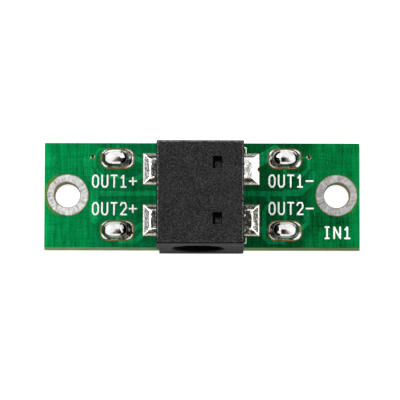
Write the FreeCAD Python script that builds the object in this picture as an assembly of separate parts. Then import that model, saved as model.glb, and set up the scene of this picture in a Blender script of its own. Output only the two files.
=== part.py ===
"""Surface-mount DC barrel jack soldered across a small board with two pairs of wire lands.

Millimetres. The origin is midway between the two mounting holes, on the board's underside.
+X runs along the board, +Z is up, and the plug goes in along +Y, so the mouth faces -Y.
"""

import FreeCAD, Part
import os
from math import cos, hypot, pi, sin

V = FreeCAD.Vector
LEFT, RIGHT = -1, 1
REAR, FRONT = 1, -1

# Board and its layers
board_length = 38.0
board_width = 12.7
score_bevel = 0.25
score_depth = 0.5
laminate_thickness = 1.5
foil_thickness = 0.04
tin_thickness = 0.03
mask_thickness = 0.03

# Mounting holes and their lands
mount_hole_pitch = 32.4
mount_hole_diameter = 3.0
mount_land_diameter = 5.05
land_setback = 0.06
copper_rim = 0.08

# Sides used for small round outlines
corner_steps = 3
small_circle_sides = 8
track_end_sides = 6

# Centre of the pads and the wire lands against the mounting holes, and of the jack against its pads
layout_x = -0.1
layout_y = 0.07
jack_shift_x = -0.1

# Wire lands: plated slots in pairs on each side of the jack
wire_land_pitch_x = 20.2
wire_land_pitch_y = 8.76
wire_land_length = 4.15
wire_land_width = 2.5
wire_land_corner = 0.95
wire_slot_length = 2.3
wire_slot_width = 0.9
plating_thickness = 0.05

# Beads of solder standing on the wire lands: a low skirt, then an oblong dome up to a short crest
bead_height = 0.85
bead_inset = 0.06
bead_shift_left = 0.24
bead_shift_right = 0.02
bead_skirt_rise = 0.05
bead_rim_rise = 0.12
bead_length = 2.9
bead_width = 1.95
bead_crest_length = 1.0
bead_crest_width = 0.25
bead_arc_steps = 5
rounding_play = 0.01

# Pads under the jack's feet
pad_pitch_y = 6.22
pad_span_x = 14.1
pad_width = 2.6
pad_length = 3.85

# Small plated holes joining the two sides
via_left_x = -13.2
via_right_x = 12.88
via_y = 4.62
via_land_diameter = 0.52
via_drill_diameter = 0.36
via_hole_diameter = 0.24

# Tracks in the top foil
track_bar = 1.26
track_wide = 0.9
track_broad = 0.66
track_medium = 0.5
track_narrow = 0.36
track_hair = 0.18
track_margin = 0.3
mask_step_cover = 0.06
guard_radius = 2.0
guard_turns = [(-0.3, -0.95), (-0.71, -0.71), (-0.97, -0.26), (-0.97, 0.26), (-0.71, 0.71)]
guard_lead = (1.1, 0.55)
front_lead = 1.2
stub_share = 1.35
under_share = 1.1

# Way-points of the negative tracks
link_offset_y = 0.13
link_step_y = 0.12
band_head_jog = 0.85
band_head_y = 2.95
band_knee_y = 1.5
band_foot_y = -2.9
band_via_drop = 0.4
ramp_start = 1.8
ramp_turns = [(0.9, 1.0), (0.25, 1.5), (0.05, 2.6)]
via_drop_y = 3.3
via_drop_jog = 0.85
via_shelf_y = 2.5
branch_from_pad = 0.85
branch_jog = 0.75
branch_lead = 0.6
branch_knee_y = [-0.83, -1.9]
branch_foot = (0.6, 0.55)
spur_lead = 0.25
spur_knee = (0.05, -0.6)
patch_turns = [(2.5, -2.0), (2.8, -3.2)]

# Link under the board
bottom_track_width = 0.3
bottom_track_y = 0.0
bottom_track_chamfer = 0.5

# Jack housing
jack_width = 10.4
jack_length = 12.3
jack_height = 10.35
front_overhang = 0.5
housing_edge_radius = 0.16
side_rebate_depth = 0.28
side_rebate_height = 4.4

# Socket
bore_offset_x = -0.24
bore_height = 4.64
mouth_diameter = 6.2
mouth_length = 1.4
mouth_chamfer = 0.15
chamber_diameter = 6.6
socket_depth = 9.6

# Blind core pockets in the housing's roof
pocket_offset_x = 2.03
pocket_width = 1.13
pocket_length = 1.46
pocket_depth = 1.3
pocket_from_rear = 2.63
pocket_from_front = 2.95

# Locating pegs moulded under the housing
peg_diameter = 1.5
peg_length = 1.25
peg_clearance = 0.05
peg_pitch = 6.3
peg_front_y = -4.7
peg_x = 0.2
peg_chamfer = 0.2

# Centre pin
pin_diameter = 2.1
pin_setback = 1.6
pin_tip_length = 0.55
pin_tip_diameter = 1.1
shoulder_diameter = 3.2
shoulder_length = 0.6
shank_diameter = 1.4
rivet_head_diameter = 2.4
rivet_head_thickness = 0.35
rivet_dish_depth = 0.12
rivet_crown_share = 0.8
rivet_dish_share = 0.45

# Folded contacts
sheet_thickness = 0.3
bend_radius = 0.25
fit_gap = 0.04
foot_width = 2.3
foot_reach = 6.3
foot_end_radius = 0.35
rear_recess_depth = 1.0
rear_plate_half_width = 1.6
rear_plate_rise = 1.7
strap_width = 2.0
strap_inset = 0.45
side_plate_gap = 0.3
side_plate_rise = 1.6
leaf_width = 2.4
leaf_thickness = 0.22
leaf_clearance = 0.15
leaf_root_from_wall = 0.7
leaf_reach = 2.38
leaf_crest_from_front = 4.9
leaf_tip_from_front = 3.0
leaf_tip_reach = 2.95

# Solder round the feet
foot_solder_inset = 0.07
foot_solder_skirt = 0.14
foot_solder_shoulder = 0.3
foot_solder_cover = 0.15
foot_solder_margin = 0.16
housing_gap = 0.02

# Levels above the underside
z_laminate = foil_thickness + mask_thickness
z_surface = z_laminate + laminate_thickness
z_foil = z_surface + foil_thickness
z_tin = z_foil + tin_thickness
z_mask = z_surface + mask_thickness
z_mask_over_foil = z_foil + mask_thickness
z_housing = z_mask_over_foil
z_bore = z_housing + bore_height
z_sheet_top = z_housing + sheet_thickness

# Places worked out from the driving dimensions
y_front = -board_width / 2 - score_bevel - front_overhang
y_rear = y_front + jack_length
y_socket_end = y_front + socket_depth
x_jack = layout_x + jack_shift_x
x_bore = x_jack + bore_offset_x
y_plate_seat = y_rear - rear_recess_depth
foot_half = foot_width / 2


def box_between(low, high):
    """A box from its lowest to its highest corner."""
    size = [b - a for a, b in zip(low, high)]
    return Part.makeBox(size[0], size[1], size[2], V(*low))


def polygon_face(points, z):
    """A flat face inside the given (x, y) points."""
    corners = [V(x, y, z) for x, y in points]
    return Part.Face(Part.makePolygon(corners + corners[:1]))


def rounded_points(center, length, width, radius):
    """Points of a rectangle with round corners, long side along X, anticlockwise."""
    cx, cy = center
    points = []
    for quarter, (sx, sy) in enumerate([(1, 1), (-1, 1), (-1, -1), (1, -1)]):
        ox = cx + sx * (length / 2 - radius)
        oy = cy + sy * (width / 2 - radius)
        for step in range(corner_steps + 1):
            angle = (quarter + step / corner_steps) * pi / 2
            point = (ox + radius * cos(angle), oy + radius * sin(angle))
            if not points or hypot(point[0] - points[-1][0], point[1] - points[-1][1]) > 1e-6:
                points.append(point)
    closing = hypot(points[0][0] - points[-1][0], points[0][1] - points[-1][1])
    return points if closing > 1e-6 else points[:-1]


def rounded_face(center, length, width, radius, z):
    """A rectangle with round corners, long side along X, as a flat face."""
    return polygon_face(rounded_points(center, length, width, radius), z)


def disc_face(center, diameter, z):
    """A flat disc."""
    return Part.Face(Part.Wire(Part.makeCircle(diameter / 2, V(center[0], center[1], z))))


def small_round_face(center, diameter, sides, z):
    """A small disc drawn with straight sides that touch the true circle."""
    radius = diameter / 2 / cos(pi / sides)
    angles = [(side + 0.5) * 2 * pi / sides for side in range(sides)]
    return polygon_face([(center[0] + radius * cos(a), center[1] + radius * sin(a)) for a in angles], z)


def stroke_faces(points, width, z):
    """Flat faces of a track: a strip for each run, round turns, and round ends where it is wide."""
    turns = points if width > track_medium else points[1:-1]
    faces = [small_round_face(point, width, track_end_sides, z) for point in turns]
    for (x0, y0), (x1, y1) in zip(points, points[1:]):
        run = hypot(x1 - x0, y1 - y0)
        nx = -(y1 - y0) / run * width / 2
        ny = (x1 - x0) / run * width / 2
        corners = [(x0 + nx, y0 + ny), (x1 + nx, y1 + ny), (x1 - nx, y1 - ny), (x0 - nx, y0 - ny)]
        faces.append(polygon_face(corners, z))
    return faces


def rectangle_face(x0, y0, x1, y1, z):
    """A flat rectangle between two corners."""
    return polygon_face([(x0, y0), (x1, y0), (x1, y1), (x0, y1)], z)


def prism(faces, height):
    """Join flat faces and raise them to a solid."""
    outline = faces[0].multiFuse(faces[1:]).removeSplitter() if len(faces) > 1 else faces[0]
    solids = [face.extrude(V(0, 0, height)) for face in outline.Faces]
    joined = solids[0].multiFuse(solids[1:]) if len(solids) > 1 else solids[0]
    return joined.removeSplitter()


def turned(profile, x, z):
    """Revolve a closed (radius, y) profile about the socket's axis through (x, z)."""
    points = [V(x + radius, y, z) for radius, y in profile]
    face = Part.Face(Part.makePolygon(points + points[:1]))
    return face.revolve(V(x, 0, z), V(0, 1, 0), 360)


def mount_hole(side):
    """Centre of one mounting hole."""
    return (side * mount_hole_pitch / 2, 0.0)


def wire_land_place(side, row):
    """Centre of one wire land."""
    return (layout_x + side * wire_land_pitch_x / 2, layout_y + row * wire_land_pitch_y / 2)


def pad_row(row):
    """The Y of one row of pads and feet."""
    return layout_y + row * pad_pitch_y / 2


def pad_face(side, row, inset, z):
    """The rectangle of one pad, drawn in by an inset."""
    outer = layout_x + side * (pad_span_x / 2 - inset)
    inner = layout_x + side * (pad_span_x / 2 - pad_width + inset)
    half = pad_length / 2 - inset
    low, high = min(outer, inner), max(outer, inner)
    return rectangle_face(low, pad_row(row) - half, high, pad_row(row) + half, z)


def pad_edge(side, row, along):
    """A point just inside a pad's outer edge, at a share of its length from its middle."""
    return (layout_x + side * (pad_span_x / 2 - track_margin), pad_row(row) + along * pad_length)


def land_point(side, row, dx, dy):
    """A point on or beside a wire land, in half lengths and half widths from its centre."""
    cx, cy = wire_land_place(side, row)
    return (cx + side * dx * wire_land_length / 2, cy + dy * wire_land_width / 2)


def guard_arc():
    """Hair track curving round the outer end of the rear left wire land."""
    cx, cy = land_point(LEFT, REAR, 0.4, -0.26)
    return [(cx + guard_radius * a, cy + guard_radius * b) for a, b in guard_turns]


def positive_tracks():
    """Tracks from the left pads to the left wire lands, as (points, width)."""
    arc = guard_arc()
    rear_pad_low = pad_edge(LEFT, REAR, -0.17)
    turn = (rear_pad_low[0] - guard_lead[0], rear_pad_low[1] - guard_lead[1])
    front_pad_low = pad_edge(LEFT, FRONT, -0.42)
    bottom = land_point(LEFT, FRONT, -0.2, -1.0)
    return [
        ([land_point(LEFT, REAR, -0.8, 0.25), pad_edge(LEFT, REAR, 0.2)], track_medium),
        ([rear_pad_low, turn], track_medium),
        ([turn] + arc + [land_point(LEFT, REAR, 0.6, 0.9)], track_hair),
        ([land_point(LEFT, FRONT, -0.8, 0.0), pad_edge(LEFT, FRONT, -0.1)], track_medium),
        ([bottom, (front_pad_low[0] - front_lead, bottom[1]), front_pad_low], track_medium),
        ([land_point(LEFT, REAR, 0.0, 0.9), land_point(LEFT, REAR, 0.0, stub_share)], track_narrow),
        ([land_point(LEFT, FRONT, 0.0, 0.9), land_point(LEFT, FRONT, 0.0, stub_share)], track_narrow),
    ]


def negative_tracks():
    """Tracks of the right pads, the right wire lands and the link across the board."""
    link_y = layout_y + link_offset_y
    step_y = link_y + link_step_y
    band_x = -mount_hole_pitch / 2 + mount_land_diameter / 2 + track_wide / 2 + track_margin
    band_top = (band_x - band_head_jog, via_y - band_via_drop)
    band_knees = [(band_x - band_head_jog, band_head_y), (band_x, band_knee_y), (band_x, band_foot_y)]
    right_clear = mount_hole_pitch / 2 - mount_land_diameter / 2 - track_margin
    ramp = [(right_clear - back, y) for back, y in ramp_turns]
    rear_x, rear_low = land_point(RIGHT, REAR, 0.0, -0.9)
    front_x, front_low = land_point(RIGHT, FRONT, 0.0, -under_share)
    front_high = land_point(RIGHT, FRONT, 0.0, 0.9)
    ramp_low = (rear_x + ramp_start, step_y)
    via = (via_right_x, via_y)
    via_shelf = [(via_right_x, via_drop_y), (via_right_x - via_drop_jog, via_shelf_y), (rear_x, via_shelf_y)]
    pad_branch = pad_edge(RIGHT, FRONT, -0.3)
    down_x = pad_branch[0] + branch_from_pad
    branch_x = down_x + branch_jog
    branch = [(branch_x - branch_lead, link_y), (branch_x, branch_knee_y[0]), (down_x, branch_knee_y[1])]
    foot = [(down_x, front_low + branch_foot[1]), (down_x + branch_foot[0], front_low), (front_x, front_low)]
    spur = [(rear_x - spur_lead, link_y), (rear_x - spur_knee[0], spur_knee[1]), front_high]
    patch = [(front_x + along, y) for along, y in patch_turns]
    return [
        ([band_top] + band_knees, track_wide),
        ([(via_left_x, via_y), band_top], track_narrow),
        ([(band_x, link_y), (rear_x, link_y)], track_medium),
        ([(rear_x, step_y), ramp_low] + ramp, track_broad),
        ([pad_edge(RIGHT, REAR, 0.22), land_point(RIGHT, REAR, -0.6, 0.75)], track_bar),
        ([via] + via_shelf + [(rear_x, rear_low)], track_narrow),
        ([via, land_point(RIGHT, REAR, 0.9, 0.1)], track_hair),
        (branch + foot, track_narrow),
        ([pad_branch, (down_x, pad_branch[1])], track_broad),
        (spur, track_narrow),
        (patch, track_broad),
        ([patch[-1], land_point(RIGHT, FRONT, 0.9, 0.1)], track_narrow),
    ]


def foil_net(side, tracks):
    """Etched copper of one net: its tracks and the two pads it serves."""
    faces = [pad_face(side, row, 0, z_surface) for row in (REAR, FRONT)]
    for points, width in tracks:
        faces += stroke_faces(points, width, z_surface)
    return prism(faces, foil_thickness)


def land_outlines(z):
    """Flat outlines of every tinned land on one side of the board."""
    faces = [disc_face(mount_hole(side), mount_land_diameter, z) for side in (LEFT, RIGHT)]
    for side in (LEFT, RIGHT):
        for row in (REAR, FRONT):
            faces.append(rounded_face(wire_land_place(side, row), wire_land_length, wire_land_width,
                                      wire_land_corner, z))
    for x in (via_left_x, via_right_x):
        faces.append(small_round_face((x, via_y), via_land_diameter, small_circle_sides, z))
    return faces


def peg_places():
    """Centres of the two locating pegs and their holes."""
    return [(layout_x + peg_x, peg_front_y), (layout_x + peg_x, peg_front_y + peg_pitch)]


def through_holes(z, height):
    """Cutters for the mounting holes and the peg holes."""
    cutters = [disc_face(mount_hole(side), mount_hole_diameter, z) for side in (LEFT, RIGHT)]
    cutters += [disc_face(place, peg_diameter + 2 * peg_clearance, z) for place in peg_places()]
    return [face.extrude(V(0, 0, height)) for face in cutters]


def make_laminate():
    """Glass-epoxy board with a scored front edge and its drilled and routed holes."""
    front = -board_width / 2
    edge = [(board_width / 2, z_laminate), (board_width / 2, z_surface), (front, z_surface),
            (front - score_bevel, z_surface - score_depth), (front - score_bevel, z_laminate + score_depth),
            (front, z_laminate)]
    corners = [V(-board_length / 2, y, z) for y, z in edge]
    board = Part.Face(Part.makePolygon(corners + corners[:1])).extrude(V(board_length, 0, 0))
    cutters = through_holes(z_laminate, laminate_thickness)
    for side in (LEFT, RIGHT):
        for row in (REAR, FRONT):
            slot = rounded_face(wire_land_place(side, row), wire_slot_length, wire_slot_width,
                                wire_slot_width / 2, z_laminate)
            cutters.append(slot.extrude(V(0, 0, laminate_thickness)))
    for x in (via_left_x, via_right_x):
        drill = small_round_face((x, via_y), via_drill_diameter, small_circle_sides, z_laminate)
        cutters.append(drill.extrude(V(0, 0, laminate_thickness)))
    return board.cut(cutters)


def make_mask_top(copper):
    """Cured mask: thin on the laminate, raised over the tracks, open at the lands and pads."""
    sheet = box_between((-board_length / 2, -board_width / 2, z_surface),
                        (board_length / 2, board_width / 2, z_mask))
    ribs = []
    for points, width in positive_tracks() + negative_tracks():
        ribs += stroke_faces(points, width + 2 * mask_step_cover, z_surface)
    raised = prism(ribs, z_mask_over_foil - z_surface)
    openings = [face.extrude(V(0, 0, 1)) for face in land_outlines(z_surface)]
    for side in (LEFT, RIGHT):
        for row in (REAR, FRONT):
            openings.append(pad_face(side, row, 0, z_surface).extrude(V(0, 0, 1)))
    holes = through_holes(z_surface, 1)
    outline = box_between((-board_length / 2, -board_width / 2, z_surface),
                          (board_length / 2, board_width / 2, z_surface + 1))
    return sheet.fuse(raised.common(outline)).cut(openings + holes + copper).removeSplitter()


def bottom_copper_route():
    """Points of the link that joins the two small plated holes under the board."""
    turn = bottom_track_y + bottom_track_chamfer
    return [(via_left_x, via_y), (via_left_x, turn), (via_left_x + bottom_track_chamfer, bottom_track_y),
            (via_right_x - bottom_track_chamfer, bottom_track_y), (via_right_x, turn), (via_right_x, via_y)]


def make_bottom_copper():
    """Link track in the bottom foil."""
    track = prism(stroke_faces(bottom_copper_route(), bottom_track_width, mask_thickness), foil_thickness)
    return track.cut([face.extrude(V(0, 0, 1)) for face in land_outlines(mask_thickness)])


def make_mask_bottom(bottom_copper):
    """Flat cured mask that the board rests on, open at the lands."""
    sheet = box_between((-board_length / 2, -board_width / 2, 0),
                        (board_length / 2, board_width / 2, z_laminate))
    openings = [face.extrude(V(0, 0, 1)) for face in land_outlines(0)]
    return sheet.cut(openings + through_holes(0, 1) + [bottom_copper])


def make_mount_land(side):
    """Tinned ring round one mounting hole, on the top and on the underside."""
    center = mount_hole(side)
    inner = mount_hole_diameter + 2 * land_setback
    foil = disc_face(center, mount_land_diameter, z_surface).extrude(V(0, 0, foil_thickness))
    tin = disc_face(center, mount_land_diameter - 2 * copper_rim, z_foil).extrude(V(0, 0, tin_thickness))
    hole = disc_face(center, inner, 0).extrude(V(0, 0, z_tin))
    top = foil.fuse(tin).cut(hole)
    bottom = disc_face(center, mount_land_diameter, 0).extrude(V(0, 0, z_laminate)).cut(hole)
    return Part.makeCompound([top, bottom])


def make_wire_land(side, row):
    """Plated slot: a land on each side of the board joined by the barrel's wall."""
    center = wire_land_place(side, row)
    tin_length, tin_width = wire_land_length - 2 * copper_rim, wire_land_width - 2 * copper_rim
    foil = rounded_face(center, wire_land_length, wire_land_width, wire_land_corner, z_surface)
    tin = rounded_face(center, tin_length, tin_width, wire_land_corner - copper_rim, z_foil)
    under = rounded_face(center, wire_land_length, wire_land_width, wire_land_corner, 0)
    barrel = rounded_face(center, wire_slot_length, wire_slot_width, wire_slot_width / 2, z_laminate)
    body = foil.extrude(V(0, 0, foil_thickness)).fuse([
        tin.extrude(V(0, 0, tin_thickness)),
        barrel.extrude(V(0, 0, laminate_thickness)),
        under.extrude(V(0, 0, z_laminate)),
    ])
    return body.cut(slot_fill(side, row, 0, z_tin))


def slot_fill(side, row, z0, z1):
    """The clear space inside a plated slot between two levels."""
    length = wire_slot_length - 2 * plating_thickness
    width = wire_slot_width - 2 * plating_thickness
    return rounded_face(wire_land_place(side, row), length, width, width / 2, z0).extrude(V(0, 0, z1 - z0))


def bead_outlines(side, row):
    """Rounded outlines of a bead from its foot to its crest, as (level over the land, points)."""
    cx, cy = wire_land_place(side, row)
    rim = copper_rim + bead_inset
    base_length, base_width = wire_land_length - 2 * rim, wire_land_width - 2 * rim
    center = (cx + side * (bead_shift_left if side == LEFT else bead_shift_right), cy)
    sizes = [(bead_skirt_rise, (base_length + bead_length) / 2, (base_width + bead_width) / 2)]
    for step in range(bead_arc_steps + 1):
        angle = pi / 2 * step / bead_arc_steps
        keep, lift = cos(angle), sin(angle)
        sizes.append((
            bead_rim_rise + (bead_height - bead_rim_rise) * lift,
            bead_crest_length + (bead_length - bead_crest_length) * keep,
            bead_crest_width + (bead_width - bead_crest_width) * keep,
        ))
    outlines = [(0.0, rounded_points((cx, cy), base_length, base_width, wire_land_corner - rim))]
    for level, length, width in sizes:
        outlines.append((level, rounded_points(center, length, width, width / 2 - rounding_play)))
    return outlines


def make_bead(side, row):
    """Solder bead: fills the slot, spreads to the land's edge and stands up as an oblong dome."""
    sections = []
    for level, outline in bead_outlines(side, row):
        points = [V(x, y, z_tin + level) for x, y in outline]
        sections.append(Part.makePolygon(points + points[:1]))
    dome = Part.makeLoft(sections, True, True)
    return dome.fuse(slot_fill(side, row, 0, z_tin)).removeSplitter()


def via_column(x, diameter, z0, z1):
    """A short upright column at one of the small plated holes."""
    return small_round_face((x, via_y), diameter, small_circle_sides, z0).extrude(V(0, 0, z1 - z0))


def make_via(x):
    """Small plated hole with a ring on each side."""
    top = via_column(x, via_land_diameter, z_surface, z_tin)
    under = via_column(x, via_land_diameter, 0, z_laminate)
    barrel = via_column(x, via_drill_diameter, z_laminate, z_surface)
    return top.fuse([under, barrel]).cut(via_column(x, via_hole_diameter, 0, z_tin))


def foot_root(side):
    """X where a flat foot leaves its strap or web, under the housing's side wall."""
    return x_jack + side * (jack_width / 2 - side_rebate_depth - strap_inset)


def foot_faces(side, row, grow=0.0):
    """Outline of one flat foot: square under the housing's wall, with a rounded end outside."""
    root, wall = foot_root(side), x_jack + side * jack_width / 2
    end = x_jack + side * (foot_reach + grow)
    half = foot_half + grow
    y = pad_row(row)
    rounded = rounded_face(((root + end) / 2, y), abs(end - root), 2 * half, foot_end_radius, z_housing)
    return [rounded, rectangle_face(min(root, wall), y - half, max(root, wall), y + half, z_housing)]


def strap_faces(grow=0.0):
    """Outline of the centre terminal under the housing: side strap, rear crosspiece and two feet."""
    x0 = foot_root(LEFT) - grow
    y_cross = pad_row(REAR) - foot_half - grow
    y_front_edge = pad_row(FRONT) - foot_half - grow
    y_back = y_plate_seat + sheet_thickness
    faces = [
        rectangle_face(x0, y_front_edge, x0 + strap_width + 2 * grow, y_back, z_housing),
        rectangle_face(x0, y_cross, x_bore + rear_plate_half_width + grow, y_back, z_housing),
    ]
    for row in (REAR, FRONT):
        faces += foot_faces(LEFT, row, grow)
    return faces


def make_center_terminal():
    """Folded strip: riveted to the pin at the rear, folded under the housing, two feet on the left."""
    x0, x1 = x_bore - rear_plate_half_width, x_bore + rear_plate_half_width
    y0, y1 = y_plate_seat, y_plate_seat + sheet_thickness
    along = V(1, 0, 0)
    plate = box_between((x0, y0, z_housing), (x1, y1, z_bore))
    head = Part.makeCylinder(rear_plate_half_width, sheet_thickness, V(x_bore, y0, z_bore), V(0, 1, 0))
    body = plate.fuse([head, prism(strap_faces(), sheet_thickness)])
    corner = box_between((x0, y0, z_housing), (x1, y1, z_sheet_top))
    bend = Part.makeCylinder(sheet_thickness, x1 - x0, V(x0, y0, z_sheet_top), along)
    inside = box_between((x0, y0 - bend_radius, z_sheet_top), (x1, y0, z_sheet_top + bend_radius))
    inner_bend = V(x0, y0 - bend_radius, z_sheet_top + bend_radius)
    hollow = Part.makeCylinder(bend_radius, x1 - x0, inner_bend, along)
    hole = Part.makeCylinder(shank_diameter / 2, jack_length, V(x_bore, y_socket_end, z_bore), V(0, 1, 0))
    return body.cut(corner.cut(bend)).fuse(inside.cut(hollow)).cut(hole).removeSplitter()


def side_plate_x():
    """Inner face of the sleeve contact's upright plate."""
    return x_bore + chamber_diameter / 2 + side_plate_gap


def side_plate_span():
    """Y of the upright plate's two ends, flush with the outer edges of its feet."""
    return pad_row(FRONT) - foot_half, pad_row(REAR) + foot_half


def leaf_arc():
    """Centre line of the spring leaf: from its root on the plate, over its crest, to its tip."""
    root = V(side_plate_x() + leaf_thickness / 2, y_socket_end - leaf_root_from_wall, 0)
    crest = V(x_bore + leaf_reach + leaf_thickness / 2, y_front + leaf_crest_from_front, 0)
    tip = V(x_bore + leaf_tip_reach, y_front + leaf_tip_from_front, 0)
    return root, crest, tip


def make_leaf():
    """Curved spring leaf, of one thickness along its arc."""
    root, crest, tip = leaf_arc()
    circle = Part.Arc(root, crest, tip).toShape().Curve
    center, radius = circle.Center, circle.Radius
    low = z_bore - leaf_width / 2
    sides = []
    for change in (-leaf_thickness / 2, leaf_thickness / 2):
        sides.append([center + (p - center).normalize() * (radius + change) + V(0, 0, low)
                      for p in (root, crest, tip)])
    near, far = sides
    wire = Part.Wire([
        Part.Arc(*near).toShape(),
        Part.LineSegment(near[2], far[2]).toShape(),
        Part.Arc(far[2], far[1], far[0]).toShape(),
        Part.LineSegment(far[0], near[0]).toShape(),
    ])
    return Part.Face(wire).extrude(V(0, 0, leaf_width))


def web_faces(row, grow=0.0):
    """Outline of one foot of the sleeve contact with the web that joins it to the upright plate."""
    y, half = pad_row(row), foot_half + grow
    web = rectangle_face(side_plate_x() - grow, y - half, foot_root(RIGHT), y + half, z_housing)
    return [web] + foot_faces(RIGHT, row, grow)


def make_sleeve_contact():
    """Folded contact: an upright plate, a spring leaf lanced from it and two feet on the right."""
    x0, x1 = side_plate_x(), side_plate_x() + sheet_thickness
    y0, y1 = side_plate_span()
    plate = box_between((x0, y0, z_housing), (x1, y1, z_bore + side_plate_rise))
    notch = box_between((x0, pad_row(FRONT) + foot_half, z_housing),
                        (x1, pad_row(REAR) - foot_half, z_sheet_top + bend_radius))
    root, _, tip = leaf_arc()
    half = leaf_width / 2 + leaf_clearance
    window = box_between((x0, tip.y - leaf_clearance * 2, z_bore - half),
                         (x1, root.y - leaf_clearance, z_bore + half))
    feet = [prism(web_faces(row), sheet_thickness) for row in (REAR, FRONT)]
    corner = box_between((x0, y0, z_housing), (x1, y1, z_sheet_top))
    bend = Part.makeCylinder(sheet_thickness, y1 - y0, V(x1, y0, z_sheet_top), V(0, 1, 0))
    body = plate.cut([notch, window]).fuse(feet).cut(corner.cut(bend))
    return body.fuse(make_leaf()).removeSplitter()


def make_pin():
    """Turned centre pin: rounded tip, shaft, shoulder, shank through the wall and riveted head."""
    y_tip = y_front + pin_setback
    y_shoulder = y_socket_end - shoulder_length
    y_plate_back = y_plate_seat + sheet_thickness
    y_head = y_plate_back + rivet_head_thickness
    tip_r, pin_r = pin_tip_diameter / 2, pin_diameter / 2
    head_r = rivet_head_diameter / 2
    profile = [
        (0, y_tip),
        (tip_r, y_tip),
        (pin_r, y_tip + pin_tip_length),
        (pin_r, y_shoulder),
        (shoulder_diameter / 2, y_shoulder),
        (shoulder_diameter / 2, y_socket_end),
        (shank_diameter / 2, y_socket_end),
        (shank_diameter / 2, y_plate_back),
        (head_r, y_plate_back),
        (head_r * rivet_crown_share, y_head),
        (head_r * rivet_dish_share, y_head),
        (0, y_head - rivet_dish_depth),
    ]
    return turned(profile, x_bore, z_bore)


def make_housing():
    """Moulded body: socket, rear wall, roof pockets, contact slots underneath and locating pegs."""
    x0, x1 = x_jack - jack_width / 2, x_jack + jack_width / 2
    z_top = z_housing + jack_height
    block = box_between((x0, y_front, z_housing), (x1, y_rear, z_top))
    kept = [e for e in block.Edges if e.BoundBox.ZMax > z_housing + fit_gap]
    block = block.makeFillet(housing_edge_radius, kept)

    mouth_r, chamber_r = mouth_diameter / 2, chamber_diameter / 2
    socket = turned([
        (0, y_front - 1),
        (mouth_r + mouth_chamfer + 1, y_front - 1),
        (mouth_r, y_front + mouth_chamfer),
        (mouth_r, y_front + mouth_length),
        (chamber_r, y_front + mouth_length),
        (chamber_r, y_socket_end),
        (0, y_socket_end),
    ], x_bore, z_bore)
    shank = Part.makeCylinder(shank_diameter / 2, jack_length, V(x_bore, y_socket_end, z_bore), V(0, 1, 0))

    rebate = box_between((x0 - 1, y_front - 1, z_housing - 1),
                         (x0 + side_rebate_depth, y_rear + 1, z_housing + side_rebate_height))
    pockets = []
    for y in (y_rear - pocket_from_rear, y_front + pocket_from_front):
        px = x_jack + pocket_offset_x
        pockets.append(box_between((px - pocket_width / 2, y - pocket_length / 2, z_top - pocket_depth),
                                   (px + pocket_width / 2, y + pocket_length / 2, z_top + 1)))

    rear_recess = box_between(
        (x_bore - rear_plate_half_width - fit_gap, y_plate_seat, z_housing - 1),
        (x_bore + rear_plate_half_width + fit_gap, y_rear + 1, z_bore + rear_plate_rise))
    bend_room = box_between(
        (x_bore - rear_plate_half_width - fit_gap, y_plate_seat - bend_radius - fit_gap, z_housing - 1),
        (x_bore + rear_plate_half_width + fit_gap, y_plate_seat, z_sheet_top + bend_radius + fit_gap))
    slot_x = side_plate_x()
    side_y0, side_y1 = side_plate_span()
    plate_slot = box_between(
        (slot_x - fit_gap, side_y0 - fit_gap, z_housing - 1),
        (slot_x + sheet_thickness + fit_gap, side_y1 + fit_gap, z_bore + side_plate_rise + fit_gap))
    root, _, tip = leaf_arc()
    leaf_room = box_between(
        (x_bore + leaf_reach - 2 * leaf_clearance, tip.y - 2 * leaf_clearance, z_housing - 1),
        (slot_x, root.y + leaf_clearance, z_bore + leaf_width / 2 + leaf_clearance))
    underside = [prism(strap_faces(fit_gap), sheet_thickness + fit_gap)]
    underside += [prism(web_faces(row, fit_gap), sheet_thickness + fit_gap) for row in (REAR, FRONT)]
    cutters = [socket, shank, rebate, rear_recess, bend_room, plate_slot, leaf_room]
    body = block.cut(cutters + pockets + underside)

    for px, py in peg_places():
        peg = Part.makeCylinder(peg_diameter / 2, peg_length, V(px, py, z_housing - peg_length))
        rim = [e for e in peg.Edges if e.BoundBox.ZMax < z_housing - peg_length + fit_gap]
        body = body.fuse(peg.makeChamfer(peg_chamfer, rim))
    return body.removeSplitter()


def make_foot_solder(side, row, contact):
    """Solder over one foot: hipped fillet from the pad's edges up to the covered foot."""
    rebate = side_rebate_depth if side == LEFT else 0
    x_wall = x_jack + side * (jack_width / 2 + housing_gap - rebate)
    x_edge = layout_x + side * (pad_span_x / 2 - foot_solder_inset)
    x_top = x_jack + side * (foot_reach + foot_solder_margin)
    x_skirt = x_top + (x_edge - x_top) * foot_solder_shoulder
    edge_half = pad_length / 2 - foot_solder_inset
    top_half = foot_half + foot_solder_margin
    skirt_half = top_half + (edge_half - top_half) * foot_solder_shoulder
    sections = [
        (z_foil, x_edge, edge_half),
        (z_foil + foot_solder_skirt, x_skirt, skirt_half),
        (z_sheet_top + foot_solder_cover, x_top, top_half),
    ]
    wires = []
    y = pad_row(row)
    for z, x, half in sections:
        corners = [V(x_wall, y - half, z), V(x, y - half, z), V(x, y + half, z), V(x_wall, y + half, z)]
        wires.append(Part.makePolygon(corners + corners[:1]))
    return Part.makeLoft(wires, True, True).cut(contact)


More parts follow.
